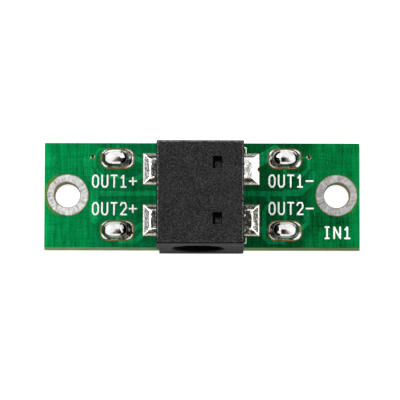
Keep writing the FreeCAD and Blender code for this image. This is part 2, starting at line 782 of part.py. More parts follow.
def build():
    """Make every piece, by node name."""
    positive = foil_net(LEFT, positive_tracks())
    negative = foil_net(RIGHT, negative_tracks())
    lands = [face.extrude(V(0, 0, 1)) for face in land_outlines(z_surface)]
    bottom_copper = make_bottom_copper()
    pieces = {
        "laminate_board": make_laminate(),
        "positive_copper": positive.cut(lands),
        "negative_copper": negative.cut(lands),
        "bottom_copper": bottom_copper,
        "solder_mask_bottom": make_mask_bottom(bottom_copper),
        "center_pin": make_pin(),
        "center_terminal": make_center_terminal(),
        "sleeve_contact": make_sleeve_contact(),
        "via_left": make_via(via_left_x),
        "via_right": make_via(via_right_x),
    }
    pieces["solder_mask_top"] = make_mask_top([pieces["positive_copper"], pieces["negative_copper"]])
    contacts = {LEFT: pieces["center_terminal"], RIGHT: pieces["sleeve_contact"]}
    pieces["jack_housing"] = make_housing()
    for side, side_name in ((LEFT, "left"), (RIGHT, "right")):
        pieces["mount_land_" + side_name] = make_mount_land(side)
        for row, row_name in ((REAR, "rear"), (FRONT, "front")):
            name = side_name + "_" + row_name
            pieces["wire_land_" + name] = make_wire_land(side, row)
            pieces["solder_bead_" + name] = make_bead(side, row)
            pieces["foot_solder_" + name] = make_foot_solder(side, row, contacts[side])
    return pieces


os.makedirs("parts", exist_ok=True)
for node, shape in build().items():
    shape.exportStep("parts/" + node + ".step")
    state = "valid" if shape.isValid() else "INVALID"
    print(node, len(shape.Solids), "solids", round(shape.Volume, 3), "mm3", state)
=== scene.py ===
"""Looks of a barrel jack on its small screw-down board: finishes, solder, print, light and camera."""

from __future__ import annotations

import logging
from dataclasses import dataclass, field
from enum import Enum
from functools import reduce
from math import atan2, cos, hypot, pi, sin
from typing import Any, Callable, Iterable, Sequence

import bpy
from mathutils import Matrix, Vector, noise


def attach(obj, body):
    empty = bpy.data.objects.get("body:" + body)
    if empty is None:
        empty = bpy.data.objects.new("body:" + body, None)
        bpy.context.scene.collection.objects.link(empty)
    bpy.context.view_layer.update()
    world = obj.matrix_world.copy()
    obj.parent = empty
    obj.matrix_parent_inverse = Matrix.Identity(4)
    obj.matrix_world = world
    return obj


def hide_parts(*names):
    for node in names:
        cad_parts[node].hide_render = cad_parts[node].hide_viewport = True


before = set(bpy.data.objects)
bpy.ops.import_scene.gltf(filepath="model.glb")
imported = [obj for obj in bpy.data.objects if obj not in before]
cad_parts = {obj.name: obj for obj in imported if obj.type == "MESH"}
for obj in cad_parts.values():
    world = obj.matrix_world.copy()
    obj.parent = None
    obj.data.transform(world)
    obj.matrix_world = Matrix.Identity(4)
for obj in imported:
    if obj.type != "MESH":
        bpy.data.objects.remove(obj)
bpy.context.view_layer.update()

logging.basicConfig(level=logging.INFO, format="%(name)s: %(message)s")
log = logging.getLogger("jack_board")

# One millimetre in metres, and the mounting holes' distance from the board's middle in millimetres
MM = 0.001
HOLE_X = 16.2

Point = tuple[float, float]
Place = tuple[float, float, float]
Colour = tuple[float, float, float]


class Side(Enum):
    """The two polarities' sides of the board."""

    LEFT = -1
    RIGHT = 1


class Row(Enum):
    """The two rows of pads and wire lands."""

    REAR = 1
    FRONT = -1


def corner_name(stem: str, side: Side, row: Row) -> str:
    """Name of a piece that stands once on each side in each row."""
    return f"{stem}_{side.name.lower()}_{row.name.lower()}"


# Shader maths


def _operator(operation: str, reflected: bool = False) -> Callable[..., Signal]:
    """Make a method of Signal from a Math node's operation.

    Args:
        operation: The node's operation.
        reflected: Whether the signal is the second operand.

    Returns:
        The method.
    """
    def method(self: Signal, other: Any = 0.0) -> Signal:
        """Add the Math node."""
        first, second = (other, self) if reflected else (self, other)
        return self.graph.make("ShaderNodeMath", {"operation": operation}, {0: first, 1: second})

    return method


class Signal:
    """A node's output socket that can be used in arithmetic."""

    def __init__(self, graph: Graph, socket: bpy.types.NodeSocket | None) -> None:
        """Wrap a socket of a graph."""
        self.graph = graph
        self.socket = socket

    __add__ = _operator("ADD")
    __radd__ = _operator("ADD", reflected=True)
    __sub__ = _operator("SUBTRACT")
    __rsub__ = _operator("SUBTRACT", reflected=True)
    __mul__ = _operator("MULTIPLY")
    __rmul__ = _operator("MULTIPLY", reflected=True)
    __pow__ = _operator("POWER")
    __abs__ = _operator("ABSOLUTE")
    at_least = _operator("MAXIMUM")
    at_most = _operator("MINIMUM")
    angle_from = _operator("ARCTAN2")

    def ramp(self, start: float, end: float) -> Signal:
        """Rise smoothly from 0 at start to 1 at end.

        Args:
            start: Value at which the result is 0.
            end: Value at which the result is 1; it may be below start.

        Returns:
            The smooth step.
        """
        return self.graph.make(
            "ShaderNodeMapRange",
            {"interpolation_type": "SMOOTHSTEP", "clamp": True},
            {0: self, 1: start, 2: end, 3: 0.0, 4: 1.0},
        )


def reach(dx: Signal, dy: Signal) -> Signal:
    """Distance from a point that lies dx and dy away."""
    return (dx * dx + dy * dy) ** 0.5


class Graph:
    """Builds the nodes of one tree."""

    def __init__(self, tree: bpy.types.NodeTree) -> None:
        """Start from an emptied tree."""
        self.tree = tree
        tree.nodes.clear()

    def make(self, kind: str, settings: dict[str, Any] | None = None, inputs: dict[Any, Any] | None = None,
             output: int | str = 0) -> Signal:
        """Add a node.

        Args:
            kind: The node's type name.
            settings: Properties set before the inputs.
            inputs: Values or signals by socket name or index.
            output: Which output to return.

        Returns:
            The chosen output as a signal, which has no socket if the node has no output.
        """
        node = self.tree.nodes.new(kind)
        for name, value in (settings or {}).items():
            setattr(node, name, value)
        for key, value in (inputs or {}).items():
            socket = node.inputs[key]
            if isinstance(value, Signal):
                self.tree.links.new(value.socket, socket)
            elif socket.type == "RGBA":
                socket.default_value = (*value, 1.0)
            else:
                socket.default_value = value
        return Signal(self, node.outputs[output] if len(node.outputs) else None)

    def mix(self, factor: Any, low: Any, high: Any, blend: str = "MIX") -> Signal:
        """Blend two colours."""
        return self.make("ShaderNodeMix", {"data_type": "RGBA", "blend_type": blend, "clamp_factor": True},
                         {0: factor, 6: low, 7: high}, 2)

    def coats(self, ground: Any, *coats: tuple[Signal, Any]) -> Signal:
        """Lay colours over a ground, one after another.

        Args:
            ground: The colour at the bottom.
            coats: How much each coat covers, from 0 to 1, and its colour.

        Returns:
            The colour that shows.
        """
        for share, colour in coats:
            ground = self.mix(share, ground, colour)
        return ground

    def shaded(self, colour: Any, red: Any, green: Any, blue: Any) -> Signal:
        """A colour with its three parts multiplied."""
        return self.mix(1.0, colour, self.join(red, green, blue), "MULTIPLY")

    def place(self) -> Signal:
        """The point's own place in millimetres, as a vector."""
        coordinates = self.make("ShaderNodeTexCoord", output="Object")
        return self.make("ShaderNodeVectorMath", {"operation": "SCALE"}, {0: coordinates, "Scale": 1.0 / MM})

    def own(self, name: str) -> Signal:
        """A vector that the mesh carries at its points."""
        return self.make("ShaderNodeAttribute", {"attribute_name": name}, output="Vector")

    def split(self, vector: Signal) -> list[Signal]:
        """The three parts of a vector."""
        parts = self.make("ShaderNodeSeparateXYZ", None, {0: vector}).socket.node.outputs
        return [Signal(self, part) for part in parts]

    def join(self, x: Any, y: Any, z: Any) -> Signal:
        """A vector from three parts."""
        return self.make("ShaderNodeCombineXYZ", None, {0: x, 1: y, 2: z})

    def grain(self, vector: Signal, scale: float, detail: float = 2.0, rough: float = 0.5,
              warp: float = 0.0) -> Signal:
        """Noise between 0 and 1.

        Args:
            vector: Where it is read, in millimetres.
            scale: Blotches per millimetre.
            detail: Octaves.
            rough: How strong each finer octave is.
            warp: Distortion.

        Returns:
            The noise value.
        """
        return self.make("ShaderNodeTexNoise", {"noise_dimensions": "3D"}, {
            "Vector": vector, "Scale": scale, "Detail": detail, "Roughness": rough, "Distortion": warp})

    def streaks(self, vector: Signal, scale: Place, detail: float = 2.0, rough: float = 0.5) -> Signal:
        """Noise with its own number of blotches per millimetre on each axis."""
        scaled = self.make("ShaderNodeVectorMath", {"operation": "MULTIPLY"}, {0: vector, 1: scale})
        return self.grain(scaled, 1.0, detail, rough)

    def bump(self, height: Signal, depth_mm: float) -> Signal:
        """A normal from a height between 0 and 1."""
        return self.make("ShaderNodeBump", None,
                         {"Strength": 1.0, "Distance": depth_mm * MM, "Height": height})


def seen_directly(graph: Graph) -> Signal:
    """Tell what the camera sees itself, in a reflection or through glass, from all other light.

    Args:
        graph: The graph that asks.

    Returns:
        1 for what is seen so, and 0 for other light.
    """
    rays = graph.make("ShaderNodeLightPath").socket.node.outputs
    kinds = ("Is Camera Ray", "Is Glossy Ray", "Is Transmission Ray")
    return reduce(Signal.at_least, [Signal(graph, rays[kind]) for kind in kinds])


# Finishes


@dataclass(frozen=True)
class Finish:
    """A material with its constant values; subclasses paint what varies."""

    name: str
    slot: str
    metallic: float = 0.0
    specular: float = 0.5

    def paint(self, graph: Graph) -> dict[str, Signal]:
        """Make the varying inputs.

        Args:
            graph: The material's own graph.

        Returns:
            Signals by the name of the shader's socket.
        """
        raise NotImplementedError

    def material(self) -> bpy.types.Material:
        """Build the material at its first use.

        Returns:
            The material, the same one each time.
        """
        made = bpy.data.materials.get(self.name)
        if made:
            return made
        made = bpy.data.materials.new(self.name)
        made.use_nodes = True
        graph = Graph(made.node_tree)
        values = {"Metallic": self.metallic, "Specular IOR Level": self.specular, **self.paint(graph)}
        shader = graph.make("ShaderNodeBsdfPrincipled", None, values)
        graph.make("ShaderNodeOutputMaterial", None, {"Surface": shader})
        return made


@dataclass(frozen=True)
class Metal(Finish):
    """A finish that is metal all over, unless its paint says otherwise."""

    metallic: float = 1.0


@dataclass(frozen=True)
class MouldedBlack(Finish):
    """Black moulded plastic with a fine spark-eroded grain and painted light and shade on its edges, front,
    pockets and socket.
    """

    tone: float = 0.0205
    low: Place = (-5.4, -7.1, 1.64)
    high: Place = (5.0, 5.2, 11.99)
    bore: Point = (-0.44, 6.28)
    bore_radius: float = 3.32
    bore_end: float = 2.7
    pockets: tuple[Point, Point] = ((1.83, 2.57), (1.83, -4.15))
    pocket_half: Point = (0.6, 0.77)
    pocket_depth: float = 1.3

    def paint(self, graph: Graph) -> dict[str, Signal]:
        """Grain, faint clouds, and painted light and shade: lines along the edges, the front face, the
        pockets and the socket.

        Args:
            graph: The material's own graph.

        Returns:
            Signals by the name of the shader's socket.
        """
        place = graph.place()
        x, y, z = graph.split(place)
        drop, depth = self.high[2] - z, y - self.low[1]
        fine = graph.grain(place, 7.4, 2.0, 0.75)
        clouds = graph.grain(place, 0.7, 2.0)
        level = (1.0 + (fine - 0.5) * 9.0 + (clouds - 0.5) * 0.9).at_least(0.2) * self.tone
        rim = (x - self.low[0]).at_most(self.high[0] - x).at_most(depth.at_most(self.high[1] - y))
        top = drop.ramp(0.3, 0.05)
        # Painted highlight: a thin light line just inside the top face's edges
        light = rim.ramp(0.08, 0.13) * rim.ramp(0.26, 0.18) * top
        light = light * (0.4 + graph.grain(place, 1.6, 2.0).ramp(0.3, 0.5))
        # Painted light and shade on the front face: lighter overall, a painted highlight under the top edge,
        # and painted shade towards the bottom
        front = depth.ramp(0.3, 0.17)
        shine = front * drop.ramp(0.9, 1.8) * drop.ramp(3.6, 1.8)
        lower = front * drop.ramp(4.5, 9.5)
        # Painted shade and dark reflection: a dark line at the front top edge, a dark band at the front
        # face's foot and a dark outline round the top face
        dark = front * (drop.ramp(1.8, 0.1) * 0.8).at_least((z - self.low[2]).ramp(3.4, 0.4) * 0.6)
        dark = dark.at_least(rim.ramp(0.11, 0.07) * top)
        # Painted shade: the socket is darkened inside
        away = reach(x - self.bore[0], z - self.bore[1])
        socket_shade = away.ramp(self.bore_radius + 0.03, self.bore_radius - 0.1) * depth.ramp(0.02, 0.2)
        socket_shade = socket_shade * y.ramp(self.bore_end + 0.1, self.bore_end - 0.1)
        # Painted light and shade in the pockets: walls and back darkened, the floor lit towards the front
        # right
        deep = drop - self.pocket_depth
        floor = deep.ramp(-0.06, -0.02) * deep.ramp(0.1, 0.04)
        half_x, half_y = self.pocket_half
        for center in self.pockets:
            dx, dy = x - center[0], y - center[1]
            pocket = abs(dx).ramp(half_x + 0.02, half_x - 0.02) * abs(dy).ramp(half_y + 0.02, half_y - 0.02)
            lit = floor * dx.ramp(-0.35, -0.15) * dx.ramp(0.56, 0.4)
            lit = lit * dy.ramp(0.4, 0.0) * dy.ramp(-0.68, -0.5)
            level = level * (1.0 + pocket * drop.ramp(0.02, 0.06) * (lit * 3.0 - 0.85))
        # Painted highlights and the front face's painted light brighten the grain, and painted shade darkens
        # it
        level = level * (1.0 + light * 2.9 + front * 0.4 + shine * 1.3 - lower * 0.75)
        # The painted dark lines, and painted shade inside the socket
        level = level * (1.0 - dark.at_most(1.0) * 0.93) * (1.0 - socket_shade * 0.99)
        return {
            "Base Color": graph.join(level, level, level * 0.985),
            "Roughness": 0.62 + fine * 0.3,
            "Normal": graph.bump(fine, 0.03),
        }


@dataclass(frozen=True)
class SolderMask(Finish):
    """Green cured mask: paler over copper, with the fine weave of the cloth under it, and painted shade on
    the right.
    """

    # Lit colours on the left, and darker copies on the right that are painted shade
    bare_lit: Colour = (0.001, 0.132, 0.038)
    bare_shaded: Colour = (0.0005, 0.064, 0.016)
    pour_lit: Colour = (0.0005, 0.184, 0.047)
    pour_shaded: Colour = (0.0005, 0.135, 0.03)
    track_lit: Colour = (0.003, 0.245, 0.07)
    track_shaded: Colour = (0.002, 0.168, 0.052)
    dust: Colour = (0.06, 0.42, 0.2)
    pit: Colour = (0.002, 0.02, 0.008)
    amber: Colour = (0.13, 0.16, 0.02)
    pour_x: float = 13.2
    board_end: float = 19.0
    dim_place: Point = (15.2, -3.0)
    track_level: float = 1.618

    def paint(self, graph: Graph) -> dict[str, Signal]:
        """Copper showing through, weave, dust, pits, the amber fringe at a ring near the edge, and painted
        shade on the right half.

        Args:
            graph: The material's own graph.

        Returns:
            Signals by the name of the shader's socket.
        """
        place = graph.place()
        x, y, z = graph.split(place)
        wander = graph.grain(place, 0.45, 2.0)
        warp = graph.streaks(place, (4.6, 0.3, 1.0), 1.0, 0.6)
        weft = graph.streaks(place, (0.3, 4.2, 1.0), 1.0, 0.6)
        fine = graph.grain(place, 5.2, 2.0, 0.7)
        pour = abs(x + (wander - 0.5) * 1.8).ramp(self.pour_x - 1.6, self.pour_x + 1.2)
        # Painted shade: the colours turn to their darker copies towards the right
        right = x.ramp(-9.0, 7.0)
        raised = z.ramp(self.track_level - 0.006, self.track_level + 0.006)
        green = graph.mix(pour, graph.mix(right, self.bare_lit, self.bare_shaded),
                          graph.mix(right, self.pour_lit, self.pour_shaded))
        green = graph.mix(raised * 0.9, green, graph.mix(right, self.track_lit, self.track_shaded))
        aside, ahead = x - self.dim_place[0], y - self.dim_place[1]
        dim = (aside * aside * 0.25 + ahead * ahead).ramp(2.2, 0.3)
        level = 1.0 + (warp - 0.5) * 1.3 + (weft - 0.5) * 0.6 + (fine - 0.5) * 1.3 + (wander - 0.5) * 0.4
        level = level + abs(x).ramp(self.board_end - 1.8, self.board_end) * 0.35 - dim * 0.4
        level = level.at_least(0.25).at_most(1.9)
        dust = graph.grain(place, 4.4, 0.0).ramp(0.73, 0.8) * graph.grain(place, 0.7, 1.0).ramp(0.4, 0.7)
        pits = graph.streaks(place, (3.1, -3.1, 3.1), 0.0).ramp(0.74, 0.82)
        dx = abs(x) - HOLE_X
        fringe = reach(dx, y).ramp(2.95, 2.6) * dx.ramp(0.4, 2.2) * (0.4 + graph.grain(place, 1.3, 2.0))
        fringe = fringe * x.ramp(30.0, -30.0)
        return {
            "Base Color": graph.coats(graph.shaded(green, level, level, level), (dust * 0.45, self.dust),
                                      (pits * 0.6, self.pit), (fringe * 0.75, self.amber)),
            "Roughness": 0.3 + fine * 0.16,
            "Normal": graph.bump(warp * 0.5 + weft * 0.2 + fine * 0.3, 0.015),
        }


@dataclass(frozen=True)
class Laminate(Finish):
    """Glass-epoxy: tan with the layers of cloth showing at a cut edge, and painted shade at its right end.
    """

    resin: Colour = (0.095, 0.17, 0.055)
    glass: Colour = (0.22, 0.34, 0.145)
    burnt: Colour = (0.13, 0.1, 0.042)
    hole_radius: float = 1.5

    def paint(self, graph: Graph) -> dict[str, Signal]:
        """Layers, bundles of fibre, darker drilled walls, and painted shade, patchy with stains, that makes
        the right end darker and warmer.

        Args:
            graph: The material's own graph.

        Returns:
            Signals by the name of the shader's socket.
        """
        place = graph.place()
        x, y, _ = graph.split(place)
        layers = graph.streaks(place, (0.35, 1.2, 5.5), 2.0, 0.6)
        bundles = graph.streaks(place, (2.6, 2.6, 1.4), 3.0, 0.6)
        stains = graph.grain(place, 0.4, 2.0)
        tan = graph.mix(layers * 1.5 + bundles * 0.7 + stains * 0.5 - 0.85, self.resin, self.glass)
        wall = reach(abs(x) - HOLE_X, y).ramp(self.hole_radius + 0.5, self.hole_radius + 0.1)
        tan = graph.mix(wall * (0.6 + bundles * 0.5), tan, self.burnt)
        # Painted shade, patchy with stains: the right end darker and warmer
        far = x.ramp(2.0, 12.0)
        shade = 1.0 - far * (0.1 + stains * 0.35)
        return {
            "Base Color": graph.shaded(tan, shade * (1.0 - far * 0.2), shade * (1.0 - far * 0.12),
                                       shade * (0.93 - far * 0.48)),
            "Roughness": 0.55 + bundles * 0.3,
            "Normal": graph.bump(layers * 0.5 + bundles * 0.5, 0.03),
        }


@dataclass(frozen=True)
class TinnedLand(Metal):
    """Levelled tin with a thin edge of bare copper; rings are scored outwards by the screw's washer."""

    bright: Colour = (0.49, 0.49, 0.475)
    dull: Colour = (0.19, 0.19, 0.185)
    burr: Colour = (0.13, 0.095, 0.05)
    copper: Colour = (0.2, 0.105, 0.028)
    tarnish: Colour = (0.05, 0.06, 0.015)
    flux: float = 0.0
    flux_dark: Colour = (0.025, 0.028, 0.01)
    flux_amber: Colour = (0.3, 0.16, 0.055)
    burr_place: Point = (0.09, 0.05)
    burr_radius: float = 1.61
    tin_level: float = 1.622

    def paint(self, graph: Graph) -> dict[str, Signal]:
        """Radial mottling, pits, flux, the copper step and the brown lip of the hole.

        Args:
            graph: The material's own graph.

        Returns:
            Signals by the name of the shader's socket.
        """
        place = graph.place()
        x, y, z = graph.split(place)
        dx = abs(x) - HOLE_X
        spokes = graph.grain(graph.join(y.angle_from(dx) * 7.5, reach(dx, y) * 0.9, x * 0.1), 1.0, 3.0, 0.7)
        blotch = graph.grain(place, 1.5, 3.0, 0.6, 0.4)
        pits = graph.grain(place, 4.5, 2.0, 0.6)
        tone = (spokes * 0.5 + blotch * 0.25 + pits * 0.25 + x.ramp(14.0, 18.5) * 0.07).ramp(0.36, 0.66)
        rim = z.ramp(self.tin_level + 0.006, self.tin_level - 0.006) * z.ramp(0.01, 0.03)
        edge = graph.mix(graph.grain(place, 1.9, 2.0, 0.6).ramp(0.42, 0.58), self.copper, self.tarnish)
        lip = reach(dx - self.burr_place[0], y - self.burr_place[1])
        lip = lip.ramp(self.burr_radius + 0.03, self.burr_radius - 0.03) * dx.ramp(-1.2, 0.4)
        return {
            "Base Color": graph.coats(
                graph.mix(tone, self.dull, self.bright),
                (z.ramp(1.0, 1.5) * self.flux, graph.mix(tone, self.flux_dark, self.flux_amber)),
                (rim * 0.9, edge), (lip * (1.0 - self.flux), self.burr)),
            "Roughness": 0.24 + pits * 0.26,
            "Normal": graph.bump(spokes * 0.6 + pits * 0.4, 0.025),
        }


@dataclass(frozen=True)
class SootyRing(Metal):
    """Ring of a small plated hole, closed and darkened by flux, with a crumb of bright metal left."""

    bright: Colour = (0.6, 0.5, 0.34)
    soot: Colour = (0.002, 0.002, 0.001)
    centers: tuple[Point, Point] = ((-13.2, 4.62), (12.88, 4.62))
    core: float = 0.17

    def paint(self, graph: Graph) -> dict[str, Signal]:
        """Black middle and a patchy rim.

        Args:
            graph: The material's own graph.

        Returns:
            Signals by the name of the shader's socket.
        """
        place = graph.place()
        x, y, _ = graph.split(place)
        radius = reduce(Signal.at_most, [reach(x - center[0], y - center[1]) for center in self.centers])
        patchy = graph.grain(place, 3.6, 2.0, 0.6)
        shown = radius.ramp(self.core, self.core + 0.05) * patchy.ramp(0.44, 0.62)
        return {
            "Base Color": graph.mix(shown, self.soot, self.bright),
            "Roughness": 0.25 + patchy * 0.4,
            "Normal": graph.bump(patchy, 0.02),
        }


@dataclass(frozen=True)
class BeadSolder(Metal):
    """Reflowed solder of a bead: a bright dome in a skirt that is stained with flux, both with painted
    reflections and highlights.
    """

    tone: Colour = (0.9, 0.9, 0.89)
    grey: Colour = (0.5, 0.5, 0.48)
    # Colours of a painted reflection: a brown patch on the dome that turns dark toward the jack
    brown: Colour = (0.2, 0.16, 0.13)
    dark_reflection: Colour = (0.012, 0.009, 0.006)
    stain: Colour = (0.022, 0.026, 0.014)
    dusty: Colour = (0.24, 0.21, 0.16)
    chalk: Colour = (0.5, 0.46, 0.42)
    # Colours of painted reflections of the green mask
    deep_green_reflection: Colour = (0.012, 0.05, 0.02)
    green_mask_reflection: Colour = (0.03, 0.12, 0.045)
    chip: Colour = (0.2, 0.04, 0.015)
    # Colour of a painted reflection low on the dome's front
    pale_reflection: Colour = (0.4, 0.48, 0.41)
    mist: Colour = (0.27, 0.29, 0.3)
    # Colour of a painted highlight on the skirt's front
    front_highlight: Colour = (0.3, 0.42, 0.3)
    crust: Colour = (0.1, 0.09, 0.07)
    chip_place: Point = (11.2, 3.4)
    lean: float = -0.12

    def paint(self, graph: Graph) -> dict[str, Signal]:
        """A brown and dark painted reflection low on the dome, a painted reflection of the jack toward it,
        painted green reflections and highlights, and a skirt bright at its corners by painted highlights.

        Args:
            graph: The material's own graph.

        Returns:
            Signals by the name of the shader's socket.
        """
        place = graph.place()
        x, y, _ = graph.split(place)
        inward, along, climb = graph.split(graph.own("local"))
        rear, right = y.ramp(-1.0, 1.0), x.ramp(-1.0, 1.0)
        near = inward - (1.0 - right) * 0.25
        cloud = graph.grain(place, 2.2, 3.0, 0.6, 0.5)
        fine = graph.grain(place, 5.0, 2.0, 0.6)
        patch = graph.grain(place, 3.1, 2.0, 0.7, 0.6)
        wave = (fine - 0.5) * 0.5

        # The dome
        metal = graph.mix((cloud.ramp(0.45, 0.75) + fine.ramp(0.5, 0.75) * 0.3) * 0.5, self.tone, self.grey)
        # Painted reflection: a brown patch low on the dome, dark toward the jack
        dark_reflection = (near - along * 0.9 + wave).ramp(-0.4, 0.15) * (near + wave * 0.5).ramp(0.58, 0.4)
        dark_reflection = dark_reflection * (along + wave * 0.6).ramp(0.12, -0.1) * (along + wave * 0.3).ramp(-0.62, -0.5)
        shade = graph.mix((near + wave * 0.8).ramp(-0.2, 0.2), self.brown, self.dark_reflection)
        # Painted reflection of the green mask round the dome's foot, mostly at the front
        rim_reflection = climb.ramp(1.2, 1.13) * climb.ramp(0.93, 0.99)
        rim_reflection = rim_reflection * (along - abs(inward) * 0.3).ramp(0.15, -0.15)
        # Painted reflection of the black jack on the dome's side toward it
        jack_reflection = climb.ramp(1.44, 1.34) * climb.ramp(0.99, 1.03) * (inward + wave * 0.3).ramp(0.5, 0.7)
        # Painted highlight: a white spot on the dome
        white_glint = (abs(near - 0.58) * 2.0 + abs(along - 0.22)).ramp(0.46, 0.36)
        # Painted highlight: a thin light line round the dome's rim toward the jack
        line = abs(climb - 1.06).ramp(0.06, 0.02) * inward.ramp(0.3, 0.9) * 0.5
        # Painted reflection: a pale greenish band low on the dome's front
        front_foot_reflection = climb.ramp(1.22, 1.12) * climb.ramp(0.78, 0.9) * along.ramp(-0.5, -0.65) * (1.0 - rear)
        front_foot_reflection = front_foot_reflection * abs(inward + 0.05).ramp(0.95, 0.45) * (0.55 + fine * 0.6)
        metal = graph.coats(
            metal,
            (dark_reflection * (0.6 + cloud * 0.9), shade),
            (rim_reflection * 0.95, graph.mix(fine, self.deep_green_reflection, self.stain)),
            (jack_reflection, self.dark_reflection),
            (white_glint, self.tone),
            (line, self.tone))

        # The skirt
        skirt = climb.ramp(1.0, 0.94)
        from_middle = abs(inward + self.lean)
        edge = (climb + wave * 0.5).ramp(0.62, 0.4)
        # Painted highlights: the skirt's corners, a tip toward the jack and a glint keep the bright metal
        corner = abs(along).ramp(0.42, 0.66) * from_middle.ramp(1.0, 1.3) * edge
        corner = corner * (1.0 - inward.ramp(1.0, 1.3) * (climb + wave).ramp(0.15, 0.3))
        tip_glint = inward.ramp(1.2, 1.5) * climb.ramp(0.3, 0.18) * cloud.ramp(0.44, 0.54)
        glint = abs(inward - 1.68).ramp(0.16, 0.05) * abs(along).ramp(0.24, 0.1) * 0.7
        keep = corner.at_least(tip_glint).at_least(glint).at_most(1.0)
        # Painted reflections on the skirt: the black jack on its side toward it, the green mask on its outer
        # side
        jack_side_reflection = inward.ramp(1.2, 1.35) * climb.ramp(0.6, 0.5) * abs(along).ramp(0.9, 0.7)
        green_mask_reflection = (inward + wave).ramp(-1.15, -1.4) * abs(along).ramp(0.5, 0.3)
        misty = inward.ramp(-0.9, -1.1) * along.ramp(-0.2, -0.35) * along.ramp(-0.85, -0.7) * right
        # Painted highlight: a pale patch on the skirt's front
        front_highlight = along.ramp(-0.78, -0.9) * abs(inward + 0.05).ramp(0.55, 0.3) * fine.ramp(0.35, 0.5)
        stained = graph.mix((fine * 0.4 + cloud * 0.3 + patch * 0.3 + rear * 0.05).ramp(0.49, 0.58),
                            graph.mix(rear * 0.4, self.stain, self.crust), self.dusty)
        # The stains and chalk, under painted reflections of the jack and the green mask and a painted
        # highlight at the front
        stained = graph.coats(
            stained,
            (patch.ramp(0.55, 0.66) * (0.3 + rear * 0.6), self.chalk),
            (jack_side_reflection * 0.8, self.dark_reflection),
            (inward.ramp(0.9, 0.2) * 0.9, self.deep_green_reflection),
            (green_mask_reflection * 0.9, self.green_mask_reflection),
            (misty * 0.8, self.mist),
            (front_highlight * 0.8, self.front_highlight))

        # The painted reflection at the dome's foot, the chip, and what is not metal: painted highlights and
        # the dulled skirt
        chip = reach(x - self.chip_place[0], (y - self.chip_place[1]) * 1.8 ** 0.5) + fine * 0.1
        # Painted highlight: a pale band over the dome's rear rim
        rear_highlight = climb.ramp(0.97, 1.0) * climb.ramp(1.5, 1.35)
        rear_highlight = rear_highlight * along.ramp(0.45, 0.62) * from_middle.ramp(1.2, 0.95)
        dull_skirt_and_glints = (keep * skirt, line, white_glint, rear_highlight * 0.9, skirt * 0.55, front_foot_reflection * 0.9)
        return {
            "Base Color": graph.coats(metal, (skirt * (1.0 - keep), stained), (front_foot_reflection, self.pale_reflection),
                                      (chip.ramp(0.33, 0.24), self.chip)),
            "Metallic": 1.0 - reduce(Signal.at_least, dull_skirt_and_glints) * 0.85,
            "Roughness": 0.06 + cloud.ramp(0.5, 0.8) * 0.12 + skirt * 0.12,
            "Normal": graph.bump(cloud * 0.6 + fine * 0.15, 0.02),
        }


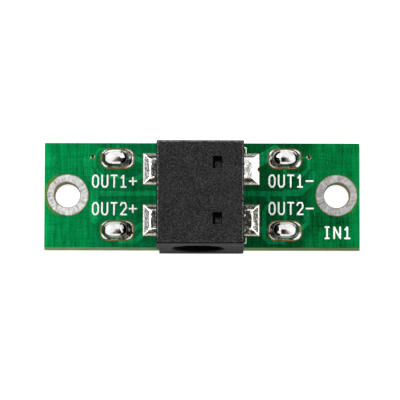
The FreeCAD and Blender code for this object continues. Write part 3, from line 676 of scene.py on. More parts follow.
@dataclass(frozen=True)
class FilletSolder(Metal):
    """Reflowed solder over a foot: painted highlights along the creases between mottled slopes, sooty at the
    front end.
    """

    crease_highlight: Colour = (0.9, 0.9, 0.88)
    cream: Colour = (0.68, 0.66, 0.6)
    pale: Colour = (0.2, 0.2, 0.19)
    grey: Colour = (0.04, 0.04, 0.038)
    dark: Colour = (0.03, 0.03, 0.028)
    dim: Colour = (0.26, 0.26, 0.25)
    groove: Colour = (0.05, 0.045, 0.035)
    rear_hem: Colour = (0.62, 0.62, 0.6)
    hem_light: Colour = (0.66, 0.63, 0.58)
    hem_dark: Colour = (0.2, 0.18, 0.15)
    soot: Colour = (0.03, 0.027, 0.014)
    ash: Colour = (0.26, 0.23, 0.17)
    specks: Colour = (0.5, 0.48, 0.44)
    half: float = 1.89
    ridge: float = 0.87
    end: float = 0.85

    def paint(self, graph: Graph) -> dict[str, Signal]:
        """Slopes and creases by the place on the pad, whose third part gives the pad's painted sheen above 0
        and its soot below 0.

        Args:
            graph: The material's own graph.

        Returns:
            Signals by the name of the shader's socket.
        """
        place = graph.place()
        inward, along, sheen_level = graph.split(graph.own("local"))
        broad = graph.grain(place, 1.6, 2.0, 0.6, 0.5)
        fine = graph.grain(place, 4.2, 3.0, 0.65)
        mottle = broad * 0.5 + fine * 0.5
        wobble = (broad - 0.5) * 0.5
        from_end = self.half - abs(along)
        front = along.ramp(0.1, -0.1)
        past = inward + wobble - self.ridge
        bowed = past - along * along * 0.17
        flat = from_end.ramp(0.6, 0.8)

        # The slopes
        inner = bowed.ramp(0.06, 0.14) * flat * (1.0 - sheen_level).at_most(1.0)
        wedge = (inward - from_end + wobble * 0.5).ramp(0.05, 0.2)
        wedge = wedge * (from_end + wobble).ramp(self.end, self.end - 0.15) * front
        hem = graph.mix(fine.ramp(0.4, 0.6), self.hem_dark, self.hem_light)
        sooty = graph.mix(fine.ramp(0.45, 0.7), self.soot, self.ash)
        sooty = graph.mix((from_end + wobble * 0.6).ramp(0.34, 0.2), sooty, hem)
        rear_hem = (from_end + wobble * 0.5).ramp(0.36, 0.24) * (1.0 - front)
        band = abs(from_end + wobble * 0.4 - 0.42).ramp(0.15, 0.06) * inward.ramp(0.3, 0.6) * (1.0 - front)
        dirty = sheen_level * -1.0
        metal = graph.coats(
            graph.mix((fine * 0.7 + broad * 0.3).ramp(0.4, 0.6), self.grey, self.pale),
            (graph.grain(place, 2.6, 1.0).ramp(0.62, 0.7) * 0.85, self.dark),
            (inner, graph.mix(fine.ramp(0.4, 0.65), self.dark, self.dim)),
            (wedge, sooty),
            (rear_hem * (0.35 + fine * 0.8), self.rear_hem),
            (band * (0.5 + fine * 0.8), self.groove),
            (dirty * 1.2 * mottle.ramp(0.42, 0.5), self.soot),
            (dirty * graph.grain(place, 3.4, 2.0, 0.7).ramp(0.56, 0.66), self.specks))

        # The painted sheen: a broad painted highlight over one pad's flat
        end_shade = from_end.ramp(0.36, 0.24) * 0.65
        spots = mottle.ramp(0.7, 0.58) * (1.0 - band) * (1.0 - end_shade)
        # Painted highlight: a broad pale sheen over the flat of one pad
        painted_sheen = sheen_level * spots.at_least(0.9 - end_shade - band * 0.8) * (1.0 - wedge)
        streaks = graph.streaks(place, (1.2, 4.5, 1.0), 2.0, 0.6)
        clear = graph.mix((streaks * 0.6 + fine * 0.4).ramp(0.4, 0.6), self.cream, self.crease_highlight)

        # The creases, with painted highlights along them
        run = past.ramp(-0.11, -0.04) * bowed.ramp(0.11, 0.03) * flat
        rail = abs(from_end + wobble - 0.72 - front * 0.16).ramp(0.09, 0.03) * past.ramp(-0.1, 0.1)
        slant = abs(inward - from_end + wobble * 0.4).ramp(0.1, 0.02)
        slant = slant * inward.ramp(self.ridge + 0.1, self.ridge - 0.1) * (0.6 + front * 0.4)
        border = (inward + wobble * 0.3).ramp(0.21, 0.11)
        border = border.at_least((from_end + wobble * 0.3).ramp(0.15, 0.07))
        # Painted highlights along the creases and round the pad's border
        bright = run.at_least(rail * broad.ramp(0.42, 0.56)).at_least(slant) * (0.7 + fine * 0.5)
        bright = bright.at_least(border * (0.4 + broad * 0.9)).at_most(1.0)
        nick = (abs(inward - 0.1) * 1.7 + abs(along + 0.03) + wobble * 0.4).ramp(0.4, 0.3)
        nick = nick.at_least((abs(inward - 0.28) + abs(along - 1.28) * 1.8).ramp(0.16, 0.1))
        return {
            "Base Color": graph.coats(metal, (painted_sheen, clear), (bright, self.crease_highlight),
                                      (nick * sheen_level, self.soot)),
            "Roughness": 0.12 + fine * 0.2,
            "Normal": graph.bump(fine * 0.6 + broad * 0.4, 0.02),
        }


@dataclass(frozen=True)
class PlatedSheet(Metal):
    """Plated brass, drawn along its length."""

    tone: Colour = (0.66, 0.64, 0.58)
    drawn: Colour = (0.42, 0.41, 0.38)
    worn: Colour = (0.4, 0.33, 0.19)
    streak: Place = (0.6, 0.6, 6.0)

    def paint(self, graph: Graph) -> dict[str, Signal]:
        """Drawing lines and thin spots.

        Args:
            graph: The material's own graph.

        Returns:
            Signals by the name of the shader's socket.
        """
        place = graph.place()
        lines = graph.streaks(place, self.streak, 4.0, 0.6)
        thin = graph.grain(place, 1.4, 3.0).ramp(0.6, 0.8)
        return {
            "Base Color": graph.coats(self.tone, (lines.ramp(0.35, 0.7), self.drawn),
                                      (thin * 0.35, self.worn)),
            "Roughness": 0.2 + lines * 0.25,
            "Normal": graph.bump(lines, 0.012),
        }


@dataclass(frozen=True)
class BareCopper(Metal):
    """Etched copper foil."""

    tone: Colour = (0.34, 0.15, 0.055)
    oxide: Colour = (0.12, 0.042, 0.015)

    def paint(self, graph: Graph) -> dict[str, Signal]:
        """Oxide clouds and rolling grain.

        Args:
            graph: The material's own graph.

        Returns:
            Signals by the name of the shader's socket.
        """
        place = graph.place()
        clouds = graph.grain(place, 2.4, 4.0, 0.6)
        rolled = graph.streaks(place, (0.8, 7.0, 1.0), 3.0)
        return {
            "Base Color": graph.mix(clouds.ramp(0.4, 0.7), self.tone, self.oxide),
            "Roughness": 0.3 + rolled * 0.3,
            "Normal": graph.bump(rolled, 0.01),
        }


@dataclass(frozen=True)
class WhiteInk(Finish):
    """Screen-printed white ink, a little uneven."""

    tone: Colour = (0.97, 0.98, 0.96)
    thin: Colour = (0.7, 0.8, 0.72)

    def paint(self, graph: Graph) -> dict[str, Signal]:
        """Patchy cover and the weave of the screen.

        Args:
            graph: The material's own graph.

        Returns:
            Signals by the name of the shader's socket.
        """
        place = graph.place()
        patchy = graph.grain(place, 5.5, 3.0, 0.6)
        screen = graph.grain(place, 14.0, 1.0)
        return {
            "Base Color": graph.mix(patchy.ramp(0.6, 0.82) * 0.5, self.tone, self.thin),
            "Roughness": 0.45 + screen * 0.2,
            "Normal": graph.bump(screen, 0.01),
        }


# Mesh helpers


def link_new(name: str, data: Any) -> bpy.types.Object:
    """Put a new object in the scene.

    Args:
        name: The object's name.
        data: Its mesh, lamp or camera.

    Returns:
        The object.
    """
    made = bpy.data.objects.new(name, data)
    bpy.context.scene.collection.objects.link(made)
    return made


def seat(piece: bpy.types.Object, finish: Finish) -> None:
    """Let a new piece ride on the part and report it.

    Args:
        piece: The new piece.
        finish: The finish that it wears.
    """
    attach(piece, "root")
    log.info("%s: %d faces, %s", piece.name, len(piece.data.polygons), finish.name)


@dataclass
class MeshMaker:
    """Collects points and faces of one mesh, in millimetres."""

    points: list[Place] = field(default_factory=list)
    faces: list[list[int]] = field(default_factory=list)
    local: list[Place] = field(default_factory=list)

    def add_ring(self, ring: Iterable[Place]) -> list[int]:
        """Add points and return their numbers.

        Args:
            ring: The points in order.

        Returns:
            Their numbers in the mesh.
        """
        start = len(self.points)
        self.points.extend(ring)
        return list(range(start, len(self.points)))

    def bridge(self, lower: Sequence[int], upper: Sequence[int]) -> None:
        """Join two rings of the same length with faces that point outwards for an anticlockwise ring.

        Args:
            lower: Numbers of the lower ring.
            upper: Numbers of the upper ring.
        """
        count = len(lower)
        for i in range(count):
            j = (i + 1) % count
            self.faces.append([lower[i], lower[j], upper[j], upper[i]])

    def cap(self, ring: Sequence[int], upwards: bool) -> None:
        """Close a ring with one face."""
        self.faces.append(list(ring) if upwards else list(reversed(ring)))

    def mesh(self, name: str, material: bpy.types.Material) -> bpy.types.Mesh:
        """Make the mesh, in metres.

        Args:
            name: The mesh's name.
            material: Its material.

        Returns:
            The mesh, flat shaded.
        """
        made = bpy.data.meshes.new(name)
        made.from_pydata([(x * MM, y * MM, z * MM) for x, y, z in self.points], [], self.faces)
        made.materials.append(material)
        return made

    def piece(self, name: str, finish: Finish) -> bpy.types.Object:
        """Make a smooth piece of the part, with its points' own places on it.

        Args:
            name: The piece's name.
            finish: Its finish.

        Returns:
            The linked object, riding on the part's body.
        """
        mesh = self.mesh(name, finish.material())
        values = mesh.attributes.new("local", "FLOAT_VECTOR", "POINT").data
        values.foreach_set("vector", [part for place in self.local for part in place])
        mesh.validate()
        mesh.polygons.foreach_set("use_smooth", [True] * len(mesh.polygons))
        piece = link_new(name, mesh)
        seat(piece, finish)
        return piece


def rounded_outline(length: float, width: float, radius: float, steps: int) -> list[Point]:
    """Outline of a rectangle with round corners about the origin, anticlockwise.

    Args:
        length: Its size along x.
        width: Its size along y.
        radius: The corners' radius, cut down to what fits.
        steps: Steps in each corner.

    Returns:
        Its points, the same number for any size.
    """
    least = 1e-4
    radius = max(min(radius, length / 2 - least, width / 2 - least), least)
    outline = []
    for quarter, (sx, sy) in enumerate([(1, 1), (-1, 1), (-1, -1), (1, -1)]):
        for step in range(steps + 1):
            angle = (quarter + step / steps) * pi / 2
            outline.append((sx * (length / 2 - radius) + radius * cos(angle),
                            sy * (width / 2 - radius) + radius * sin(angle)))
    return outline


def spread_evenly(outline: Sequence[Point], count: int) -> list[Point]:
    """Walk round a closed outline and place points at even steps.

    Args:
        outline: The outline's points.
        count: How many points to place.

    Returns:
        The placed points, the first at the outline's start.
    """
    closed = list(outline) + [outline[0]]
    runs = [hypot(b[0] - a[0], b[1] - a[1]) for a, b in zip(closed, closed[1:])]
    total = sum(runs)
    placed, index, passed = [], 0, 0.0
    for step in range(count):
        goal = total * step / count
        while index < len(runs) - 1 and passed + runs[index] < goal:
            passed += runs[index]
            index += 1
        share = (goal - passed) / runs[index] if runs[index] else 0.0
        a, b = closed[index], closed[index + 1]
        placed.append((a[0] + (b[0] - a[0]) * share, a[1] + (b[1] - a[1]) * share))
    return placed


# Solder


@dataclass
class SolderBead:
    """Oblong dome of solder that fills a plated slot and stands on its land."""

    side: Side
    row: Row
    finish: Finish
    center: Point
    land_length: float = 3.89
    land_width: float = 2.24
    land_corner: float = 0.82
    dome_length: float = 2.9
    dome_width: float = 1.9
    dome_rear: float = 0.09
    squareness: float = 2.5
    crest: float = 0.5
    shift_left: float = -0.24
    shift_right: float = 0.02
    slot_length: float = 2.2
    slot_width: float = 0.8
    base_level: float = 1.64
    toe: float = 0.015
    rim: float = 0.34
    height: float = 0.84
    ruffle: float = 0.09
    ruffles_per_mm: float = 1.1
    least: float = 0.01
    plug_look: Place = (-3.0, 0.0, 1.6)
    corner_steps: int = 10
    around: int = 96
    skirt_rings: int = 12
    dome_rings: int = 26

    @property
    def shift(self) -> float:
        """How far the dome's middle lies to the right of the land's middle."""
        return self.shift_left if self.side is Side.LEFT else self.shift_right

    def build(self) -> None:
        """Loft the skirt and the dome over rings and add the plug in the slot."""
        maker = MeshMaker()
        cx, cy = self.center
        slot = self._outline(self.slot_length, self.slot_width, self.slot_width / 2)
        land = self._outline(self.land_length, self.land_width, self.land_corner)
        foot = maker.add_ring((cx + x, cy + y, 0.0) for x, y in slot)
        neck = maker.add_ring((cx + x, cy + y, self.base_level) for x, y in slot)
        last = maker.add_ring((cx + x, cy + y, self.base_level) for x, y in land)
        maker.cap(foot, False)
        maker.bridge(foot, neck)
        maker.bridge(neck, last)
        maker.local = [self.plug_look] * (len(foot) + len(neck)) + [(0.0, 0.0, 0.0)] * len(last)
        for climb, ring in self._rings(land):
            numbers = maker.add_ring(ring)
            maker.local += [(self.side.value * (cx + self.shift - x), y - cy - self.dome_rear, climb)
                            for x, y, _ in ring]
            maker.bridge(last, numbers)
            last = numbers
        maker.cap(last, True)
        piece = maker.piece(corner_name("reflowed_bead", self.side, self.row), self.finish)
        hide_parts(corner_name("solder_bead", self.side, self.row))

    def _outline(self, length: float, width: float, corner: float) -> list[Point]:
        """A rounded rectangle with the bead's own number of points."""
        return spread_evenly(rounded_outline(length, width, corner, self.corner_steps), self.around)

    def _rings(self, land: Sequence[Point]) -> Iterable[tuple[float, list[Place]]]:
        """Rings from the land's edge over the skirt to the crest.

        Args:
            land: The land's outline about its own centre.

        Yields:
            How far the ring has climbed (1 at the dome's rim, 2 at the crest) and its points.
        """
        dome = [self._dome_point(atan2(y, x)) for x, y in land]
        for step in range(1, self.skirt_rings + 1):
            share = step / self.skirt_rings
            rise = self.toe + (self.rim - self.toe) * share ** 2
            ring = []
            for (x, y), (rim_x, rim_y) in zip(land, dome):
                x += (rim_x + self.shift - x) * share
                y += (rim_y + self.dome_rear - y) * share
                ring.append(self._ruffled(x, y, rise, share))
            yield share, ring
        for step in range(1, self.dome_rings):
            keep = 1.0 - step / self.dome_rings
            rise = self.rim + (self.height - self.rim) * (1.0 - keep * keep)
            ring = []
            for x, y in dome:
                top = max(-1.0, min(1.0, x / (self.dome_length / 2))) * self.crest
                x = self.shift + x * keep + top * (1 - keep)
                ring.append(self._ruffled(x, self.dome_rear + y * keep, rise, keep))
            yield 2.0 - keep, ring

    def _dome_point(self, angle: float) -> Point:
        """The dome's rim in a direction: an oval between an ellipse and a rectangle.

        Args:
            angle: The direction from the dome's middle.

        Returns:
            The point about the dome's middle.
        """
        a, b, power = self.dome_length / 2, self.dome_width / 2, self.squareness
        away = (abs(cos(angle) / a) ** power + abs(sin(angle) / b) ** power) ** (-1 / power)
        return away * cos(angle), away * sin(angle)

    def _ruffled(self, x: float, y: float, rise: float, share: float) -> Place:
        """Lift a point a little by noise, so that the skin isn't perfect.

        Args:
            x: Place from the land's centre.
            y: Place from the land's centre.
            rise: Height over the land.
            share: How strongly the noise acts.

        Returns:
            The point in millimetres.
        """
        cx, cy = self.center
        seed = self.row.value * 3.0 + self.side.value * 7.0
        broad = noise.noise(Vector((x * self.ruffles_per_mm, y * self.ruffles_per_mm, seed)))
        lift = rise * (1.0 + share * self.ruffle * broad)
        return cx + x, cy + y, self.base_level + max(self.least, min(lift, self.height))


@dataclass
class FootFillet:
    """Solder over one foot: a wrinkled slope from the pad's edges up to a ridge at the foot's end."""

    side: Side
    row: Row
    finish: Finish
    row_y: float
    pad_x: float = -0.1
    jack_x: float = -0.2
    wall: float = 5.22
    rebate: float = 0.28
    pad_reach: float = 7.02
    foot_reach: float = 6.2
    half: float = 1.895
    foot_half: float = 1.28
    base_level: float = 1.61
    toe: float = 0.05
    crown: float = 0.48
    slope_power: float = 0.85
    hollow: float = 0.02
    hollow_run: float = 0.75
    hollow_power: float = 0.8
    hollow_spread: float = 0.1
    ridge_run: float = 0.05
    ridge_wander: float = 0.04
    wrinkle: float = 0.02
    wrinkles_per_mm: float = 1.5
    fine_wrinkles: float = 3.2
    side_seed: float = 9.0
    row_seed: float = 5.0
    least: float = 0.02
    most: float = 0.5
    across: int = 48
    along: int = 96

    @property
    def sheen_level(self) -> float:
        """How the pad looks: 1 with a painted sheen over it, 0 with the usual mottling, and below 0 sooty.
        """
        return {(Side.RIGHT, Row.REAR): 1.0, (Side.RIGHT, Row.FRONT): -0.7}.get((self.side, self.row), 0.0)

    def build(self) -> None:
        """Raise a grid over the pad and close it with walls and a floor."""
        sign = self.side.value
        flip = self.side is Side.LEFT
        start = self.jack_x + sign * (self.wall - (self.rebate if flip else 0.0))
        end = self.pad_x + sign * self.pad_reach
        maker = MeshMaker()
        rows = []
        for i in range(self.across + 1):
            x = start + (end - start) * i / self.across
            line = []
            for j in range(self.along + 1):
                v = -self.half + 2 * self.half * j / self.along
                line.append((x, self.row_y + v, self._level(abs(x - end), v)))
                maker.local.append((abs(x - end), v, self.sheen_level))
            rows.append(maker.add_ring(line))
        for lower, upper in zip(rows, rows[1:]):
            for j in range(self.along):
                quad = [lower[j], upper[j], upper[j + 1], lower[j + 1]]
                maker.faces.append(quad[::-1] if flip else quad)
        first, last = [row[0] for row in rows], [row[-1] for row in rows]
        border = first + rows[-1][1:-1] + last[::-1] + rows[0][-2:0:-1]
        if flip:
            border.reverse()
        floor = maker.add_ring((maker.points[n][0], maker.points[n][1], self.base_level) for n in border)
        maker.local += [maker.local[n] for n in border]
        maker.bridge(floor, border)
        maker.cap(floor, False)
        piece = maker.piece(corner_name("foot_fillet", self.side, self.row), self.finish)
        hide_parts(corner_name("foot_solder", self.side, self.row))

    def _level(self, inward: float, v: float) -> float:
        """Height of the solder at a place on the pad.

        Args:
            inward: Distance from the pad's outer edge.
            v: Distance along the pad from its middle.

        Returns:
            The level in millimetres.
        """
        place = Vector((inward * self.wrinkles_per_mm + self.side_seed * self.side.value,
                        v * self.wrinkles_per_mm + self.row_seed * self.row.value, 0.4))
        broad, fine = noise.noise(place), noise.noise(place * self.fine_wrinkles)
        ridge = self.pad_reach - self.foot_reach + self.ridge_run + self.ridge_wander * broad
        from_end = (self.half - abs(v)) / (self.half - self.foot_half)
        climb = max(0.0, min(1.0, inward / ridge, from_end))
        level = self.toe + (self.crown - self.toe) * climb ** self.slope_power
        past = min(1.0, max(0.0, inward - ridge) / self.hollow_run)
        middle = max(0.0, 1.0 - (abs(v) / (self.foot_half + self.hollow_spread)) ** 2)
        level -= self.hollow * past ** self.hollow_power * middle
        level += self.wrinkle * (broad + fine / 2) * climb
        return self.base_level + max(self.least, min(level, self.most))


# Print


# Sides of a stroke's bar and of the balls at its ends, and the balls' rings
STROKE_SIDES = 12
STROKE_RINGS = 8

# Centre lines of the characters, each about 1 wide and 1 high
GLYPHS: dict[str, tuple[tuple[Point, ...], ...]] = {
    "O": (((0.3, 0), (0.7, 0), (1, 0.22), (1, 0.78), (0.7, 1), (0.3, 1), (0, 0.78), (0, 0.22), (0.3, 0)),),
    "U": (((0, 1), (0, 0.2), (0.25, 0), (0.75, 0), (1, 0.2), (1, 1)),),
    "T": (((0, 1), (1, 1)), ((0.5, 1), (0.5, 0))),
    "I": (((0.2, 1), (0.8, 1)), ((0.5, 1), (0.5, 0)), ((0.2, 0), (0.8, 0))),
    "N": (((0, 0), (0, 1), (1, 0), (1, 1)),),
    "1": (((0.15, 0.78), (0.5, 1), (0.5, 0)), ((0.1, 0), (0.9, 0))),
    "2": (((0, 0.8), (0.2, 1), (0.8, 1), (1, 0.8), (1, 0.6), (0, 0), (1, 0)),),
    "+": (((-0.1, 0.5), (1.15, 0.5)), ((0.52, 0.2), (0.52, 0.8))),
    "-": (((-0.05, 0.5), (1.15, 0.5)),),
}


@dataclass(frozen=True)
class Lettering:
    """Sizes of a label's characters, between the centre lines of their strokes."""

    advance: float = 1.125
    width: float = 0.66
    height: float = 1.41


@dataclass
class PrintedLine:
    """White strokes printed on the mask, swept by geometry nodes along their centre lines."""

    name: str
    finish: Finish
    stroke: float = 0.215
    low: float = 1.572
    high: float = 1.668
    strokes: list[list[Point]] = field(default_factory=list)

    def write(self, words: str, left: float, base: float, letters: Lettering) -> PrintedLine:
        """Add the strokes of a short label.

        Args:
            words: Characters that are in GLYPHS.
            left: Centre line of the first upright.
            base: Centre line of the lowest stroke.
            letters: Sizes of the characters.

        Returns:
            This line.
        """
        for index, letter in enumerate(words):
            start = left + index * letters.advance
            self.strokes += [[(start + x * letters.width, base + y * letters.height) for x, y in run]
                             for run in GLYPHS[letter]]
        return self

    def build(self) -> None:
        """Sweep the strokes and turn the result into a plain mesh."""
        points: list[Place] = []
        edges: list[tuple[int, int]] = []
        for run in self.strokes:
            for ends in zip(run, run[1:]):
                edges.append((len(points), len(points) + 1))
                points += [(x * MM, y * MM, 0.0) for x, y in ends]
        lines = bpy.data.meshes.new(self.name + "_lines")
        lines.from_pydata(points, edges, [])
        sizes = {"Radius": self.stroke / 2 * MM, "Flatness": (self.high - self.low) / self.stroke,
                 "Level": (self.low + self.high) / 2 * MM}
        sweep(link_new(lines.name, lines), self.name, stroke_tree(), sizes, self.finish)


def stroke_tree() -> bpy.types.NodeTree:
    """Geometry nodes that give every edge a round bar and every point a ball, then press them flat.

    Returns:
        The tree, made once.
    """
    made = bpy.data.node_groups.get("printed_strokes")
    if made:
        return made
    tree = bpy.data.node_groups.new("printed_strokes", "GeometryNodeTree")
    graph = Graph(tree)
    inputs = {"Geometry": "Geometry", "Radius": "Float", "Flatness": "Float", "Level": "Float",
              "Material": "Material"}
    for name, kind in inputs.items():
        tree.interface.new_socket(name, in_out="INPUT", socket_type="NodeSocket" + kind)
    tree.interface.new_socket("Geometry", in_out="OUTPUT", socket_type="NodeSocketGeometry")
    given = graph.make("NodeGroupInput").socket.node.outputs
    lines, radius, flatness, level, material = (Signal(graph, given[name]) for name in inputs)
    curve = graph.make("GeometryNodeMeshToCurve", None, {"Mesh": lines})
    profile = graph.make("GeometryNodeCurvePrimitiveCircle", {"mode": "RADIUS"},
                         {"Resolution": STROKE_SIDES, "Radius": radius})
    bars = graph.make("GeometryNodeCurveToMesh", None,
                      {"Curve": curve, "Profile Curve": profile, "Fill Caps": True})
    ball = graph.make("GeometryNodeMeshUVSphere", None,
                      {"Segments": STROKE_SIDES, "Rings": STROKE_RINGS, "Radius": radius})
    ends = graph.make("GeometryNodeInstanceOnPoints", None, {"Points": lines, "Instance": ball})
    joined = graph.make("GeometryNodeJoinGeometry", None, {"Geometry": bars})
    tree.links.new(ends.socket, joined.socket.node.inputs[0])
    real = graph.make("GeometryNodeRealizeInstances", None, {"Geometry": joined})
    flat = graph.make("GeometryNodeTransform", None, {
        "Geometry": real,
        "Translation": graph.join(0.0, 0.0, level),
        "Scale": graph.join(1.0, 1.0, flatness),
    })
    dressed = graph.make("GeometryNodeSetMaterial", None, {"Geometry": flat, "Material": material})
    graph.make("NodeGroupOutput", None, {0: dressed})
    return tree


def sweep(carrier: bpy.types.Object, name: str, tree: bpy.types.NodeTree, sizes: dict[str, float],
          finish: Finish) -> None:
    """Run a geometry node tree on a carrier and keep the result as a plain mesh that rides on the part.

    Args:
        carrier: Object whose mesh feeds the tree; it is removed afterwards.
        name: Name of the finished piece.
        tree: The geometry nodes.
        sizes: Values of the tree's named inputs.
        finish: The piece's finish, given to the Material input.
    """
    modifier = carrier.modifiers.new("sweep", "NODES")
    modifier.node_group = tree
    values = {**sizes, "Material": finish.material()}
    for item in tree.interface.items_tree:
        if item.item_type == "SOCKET" and item.in_out == "INPUT" and item.name in values:
            modifier[item.identifier] = values[item.name]
    evaluated = carrier.evaluated_get(bpy.context.evaluated_depsgraph_get())
    mesh = bpy.data.meshes.new_from_object(evaluated)
    mesh.name = name
    carrier.modifiers.remove(modifier)
    bpy.data.objects.remove(carrier)
    seat(link_new(name, mesh), finish)


@dataclass
class BoardPrint:
    """Labels of the four wire lands and of the socket, and the socket's outline."""

    finish: Finish
    outputs: tuple[tuple[str, float, float], ...] = (
        ("OUT1+", -13.17, 0.99), ("OUT2+", -13.17, -2.36), ("OUT1-", 8.1, 1.05), ("OUT2-", 8.1, -2.29))
    output_letters: Lettering = Lettering()
    inlet: tuple[str, float, float] = ("IN1", 14.7, -5.2)
    inlet_letters: Lettering = Lettering(1.22, 0.72, 1.36)
    outline_x: float = -0.05
    outline_half_x: float = 5.35
    outline_half_y: float = 5.8
    outline_foot_y: float = 5.18
    outline_stroke: float = 0.11

    def build(self) -> None:
        """Print every label and the outline."""
        labels = [(label, self.output_letters) for label in self.outputs]
        for (words, left, base), letters in labels + [(self.inlet, self.inlet_letters)]:
            name = "label_" + words.replace("+", "_positive").replace("-", "_negative").lower()
            PrintedLine(name, self.finish).write(words, left, base, letters).build()
        outline = PrintedLine("socket_outline", self.finish, stroke=self.outline_stroke)
        x0, x1 = self.outline_x - self.outline_half_x, self.outline_x + self.outline_half_x
        for sign in (1, -1):
            foot, head = sign * self.outline_foot_y, sign * self.outline_half_y
            outline.strokes.append([(x0, foot), (x0, head), (x1, head), (x1, foot)])
        outline.build()


# Board and jack


def dress(finish: Finish, *nodes: str) -> None:
    """Put a finish on pieces of the frame and report them.

    Args:
        finish: The finish.
        nodes: Names of the pieces.
    """
    for node in nodes:
        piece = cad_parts[node]
        piece.data.materials.clear()
        piece.data.materials.append(finish.material())
        log.info("%s: %s", node, finish.name)


@dataclass
class Board:
    """The board's own layers: carried over from the frame and finished."""

    mask: Finish
    laminate: Finish
    land: Finish
    shaded_land: Finish
    wire_land: Finish
    via: Finish
    copper: Finish

    def dress(self) -> None:
        """Give each layer its finish."""
        dress(self.laminate, "laminate_board")
        dress(self.mask, "solder_mask_top", "solder_mask_bottom")
        dress(self.copper, "positive_copper", "negative_copper", "bottom_copper")
        dress(self.via, "via_left", "via_right")
        dress(self.land, "mount_land_left")
        # Painted shade: the right mounting ring wears a darker copy of the tin
        dress(self.shaded_land, "mount_land_right")
        dress(self.wire_land, *(corner_name("wire_land", side, row) for side in Side for row in Row))


@dataclass
class Jack:
    """The moulded socket with its pin and folded contacts."""

    plastic: Finish
    pin: Finish
    sheet: Finish

    def dress(self) -> None:
        """Give each piece its finish."""
        dress(self.plastic, "jack_housing")
        dress(self.pin, "center_pin")
        dress(self.sheet, "center_terminal", "sleeve_contact")


# Studio


def stage_piece(name: str, maker: MeshMaker, shader: Callable[[Graph], Signal]) -> bpy.types.Object:
    """Put a piece of the studio in the scene.

    Args:
        name: Its name, and its material's.
        maker: Its points and faces.
        shader: Makes its shader in a graph.

    Returns:
        The piece.
    """
    material = bpy.data.materials.new(name)
    material.use_nodes = True
    graph = Graph(material.node_tree)
    graph.make("ShaderNodeOutputMaterial", None, {"Surface": shader(graph)})
    piece = link_new(name, maker.mesh(name, material))
    return piece


@dataclass
class Lamp:
    """One soft box, aimed at the part; place and size are in metres."""

    name: str
    place: Place
    size: float
    power: float

    def build(self) -> None:
        """Hang the lamp."""
        data = bpy.data.lights.new(self.name, "AREA")
        data.shape = "DISK"
        data.size = self.size
        data.energy = self.power
        lamp = link_new(self.name, data)
        lamp.location = self.place
        lamp.rotation_euler = (-Vector(self.place)).to_track_quat("-Z", "Y").to_euler()


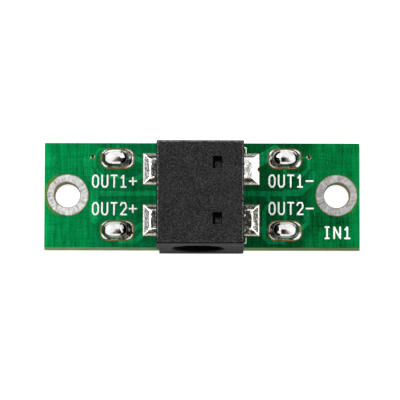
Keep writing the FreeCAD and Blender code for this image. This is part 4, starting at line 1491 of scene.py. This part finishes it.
@dataclass
class Studio:
    """Camera, lamps, table and white surroundings.

    The eye, the lamps and the camera's clipping are in metres, and all other lengths in millimetres.
    """

    eye: Place = (0.00072844, -0.07439148, 0.5449453)
    turn: Place = (0.13504, 0.00147, 0.00236)
    lens: float = 409.5
    sensor: float = 36.0
    clip_start: float = 0.01
    clip_end: float = 10.0
    white: Colour = (1.0, 1.0, 1.0)
    sky: float = 0.45
    table_tone: Colour = (0.8, 0.8, 0.8)
    table_glow: float = 0.7
    table_reach: float = 1500.0
    table_level: float = -0.02
    flag_tone: Colour = (0.04, 0.04, 0.04)
    flag_radius: float = 450.0
    flag_height: float = 100.0
    flag_sides: int = 48
    lamps: tuple[Lamp, ...] = (
        Lamp("key", (-0.28, 0.16, 0.44), 0.5, 2.05),
        Lamp("fill", (0.3, 0.0, 0.44), 0.5, 1.45),
    )

    def build(self) -> None:
        """Set up everything that isn't the part."""
        bpy.context.scene.view_settings.view_transform = "Standard"
        self._camera()
        for lamp in self.lamps:
            lamp.build()
        self._surroundings()
        self._table()
        self._flags()

    def _camera(self) -> None:
        """Look at the part from where the photograph was taken."""
        data = bpy.data.cameras.new("camera")
        data.lens = self.lens
        data.sensor_width = self.sensor
        data.clip_start = self.clip_start
        data.clip_end = self.clip_end
        camera = link_new("camera", data)
        camera.location = self.eye
        camera.rotation_euler = self.turn
        bpy.context.scene.camera = camera

    def _surroundings(self) -> None:
        """White to the eye and in reflections, a gentle fill otherwise."""
        world = bpy.data.worlds.new("surroundings")
        bpy.context.scene.world = world
        world.use_nodes = True
        graph = Graph(world.node_tree)
        strength = self.sky + seen_directly(graph) * (1.0 - self.sky)
        light = graph.make("ShaderNodeBackground", None, {"Color": self.white, "Strength": strength})
        graph.make("ShaderNodeOutputWorld", None, {"Surface": light})

    def _table(self) -> None:
        """A white table that keeps the part's shadow."""
        maker = MeshMaker()
        far, level = self.table_reach, self.table_level
        corners = ((-far, -far), (far, -far), (far, far), (-far, far))
        maker.cap(maker.add_ring((x, y, level) for x, y in corners), True)
        stage_piece("floor", maker, self._table_shader)

    def _table_shader(self, graph: Graph) -> Signal:
        """White to the eye and in reflections, and plain and pale to all other light.

        Args:
            graph: The table's graph.

        Returns:
            The shader.
        """
        plain = graph.make("ShaderNodeBsdfDiffuse", None, {"Color": self.table_tone})
        glow = graph.make("ShaderNodeEmission", None, {"Color": self.white, "Strength": self.table_glow})
        bright = graph.make("ShaderNodeAddShader", None, {0: plain, 1: glow})
        return graph.make("ShaderNodeMixShader", None, {0: seen_directly(graph), 1: plain, 2: bright})

    def _flags(self) -> None:
        """Dark cloth low round the table, unseen by the camera, which gives bright metal its contrast."""
        maker = MeshMaker()
        turns = [2 * pi * i / self.flag_sides for i in range(self.flag_sides)]
        circle = [(self.flag_radius * cos(turn), self.flag_radius * sin(turn)) for turn in turns]
        low = maker.add_ring((x, y, 0.0) for x, y in circle)
        high = maker.add_ring((x, y, self.flag_height) for x, y in circle)
        maker.bridge(low, high)
        flags = stage_piece("flags", maker, self._flag_shader)
        flags.visible_camera = False
        flags.visible_shadow = False

    def _flag_shader(self, graph: Graph) -> Signal:
        """Dark cloth."""
        return graph.make("ShaderNodeBsdfDiffuse", None, {"Color": self.flag_tone})


# The part


@dataclass
class JackBoard:
    """The whole part, built in order."""

    layout: Point = (-0.1, 0.07)
    land_pitch: Point = (20.2, 8.76)
    pad_pitch: float = 6.22

    def build(self) -> None:
        """Make and dress every piece."""
        Board(
            mask=SolderMask("green_mask", "solder_mask", specular=0.008),
            laminate=Laminate("glass_epoxy", "laminate"),
            land=TinnedLand("levelled_tin", "tinned_land"),
            # Painted shade: a darker copy of the tin, for the right mounting ring
            shaded_land=TinnedLand("shaded_levelled_tin", "tinned_land", bright=(0.31, 0.305, 0.3),
                                 dull=(0.11, 0.108, 0.11)),
            wire_land=TinnedLand("browned_tin", "tinned_land", copper=(0.12, 0.06, 0.016), flux=1.0),
            via=SootyRing("sooty_ring", "tinned_land"),
            copper=BareCopper("copper_foil", "copper"),
        ).dress()
        Jack(
            plastic=MouldedBlack("moulded_black", "housing", specular=0.05),
            pin=PlatedSheet("turned_nickel", "nickel_pin", streak=(0.5, 6.0, 0.5)),
            sheet=PlatedSheet("tinned_sheet", "contact_sheet"),
        ).dress()
        bead_solder = BeadSolder("bead_solder", "solder")
        fillet_solder = FilletSolder("fillet_solder", "solder")
        for side in Side:
            for row in Row:
                center = (self.layout[0] + side.value * self.land_pitch[0] / 2,
                          self.layout[1] + row.value * self.land_pitch[1] / 2)
                pad_y = self.layout[1] + row.value * self.pad_pitch / 2
                SolderBead(side, row, bead_solder, center).build()
                FootFillet(side, row, fillet_solder, pad_y).build()
        BoardPrint(WhiteInk("white_ink", "solder_mask")).build()


def main() -> None:
    """Build the studio and the part."""
    Studio().build()
    JackBoard().build()


if __name__ == "__main__":
    main()
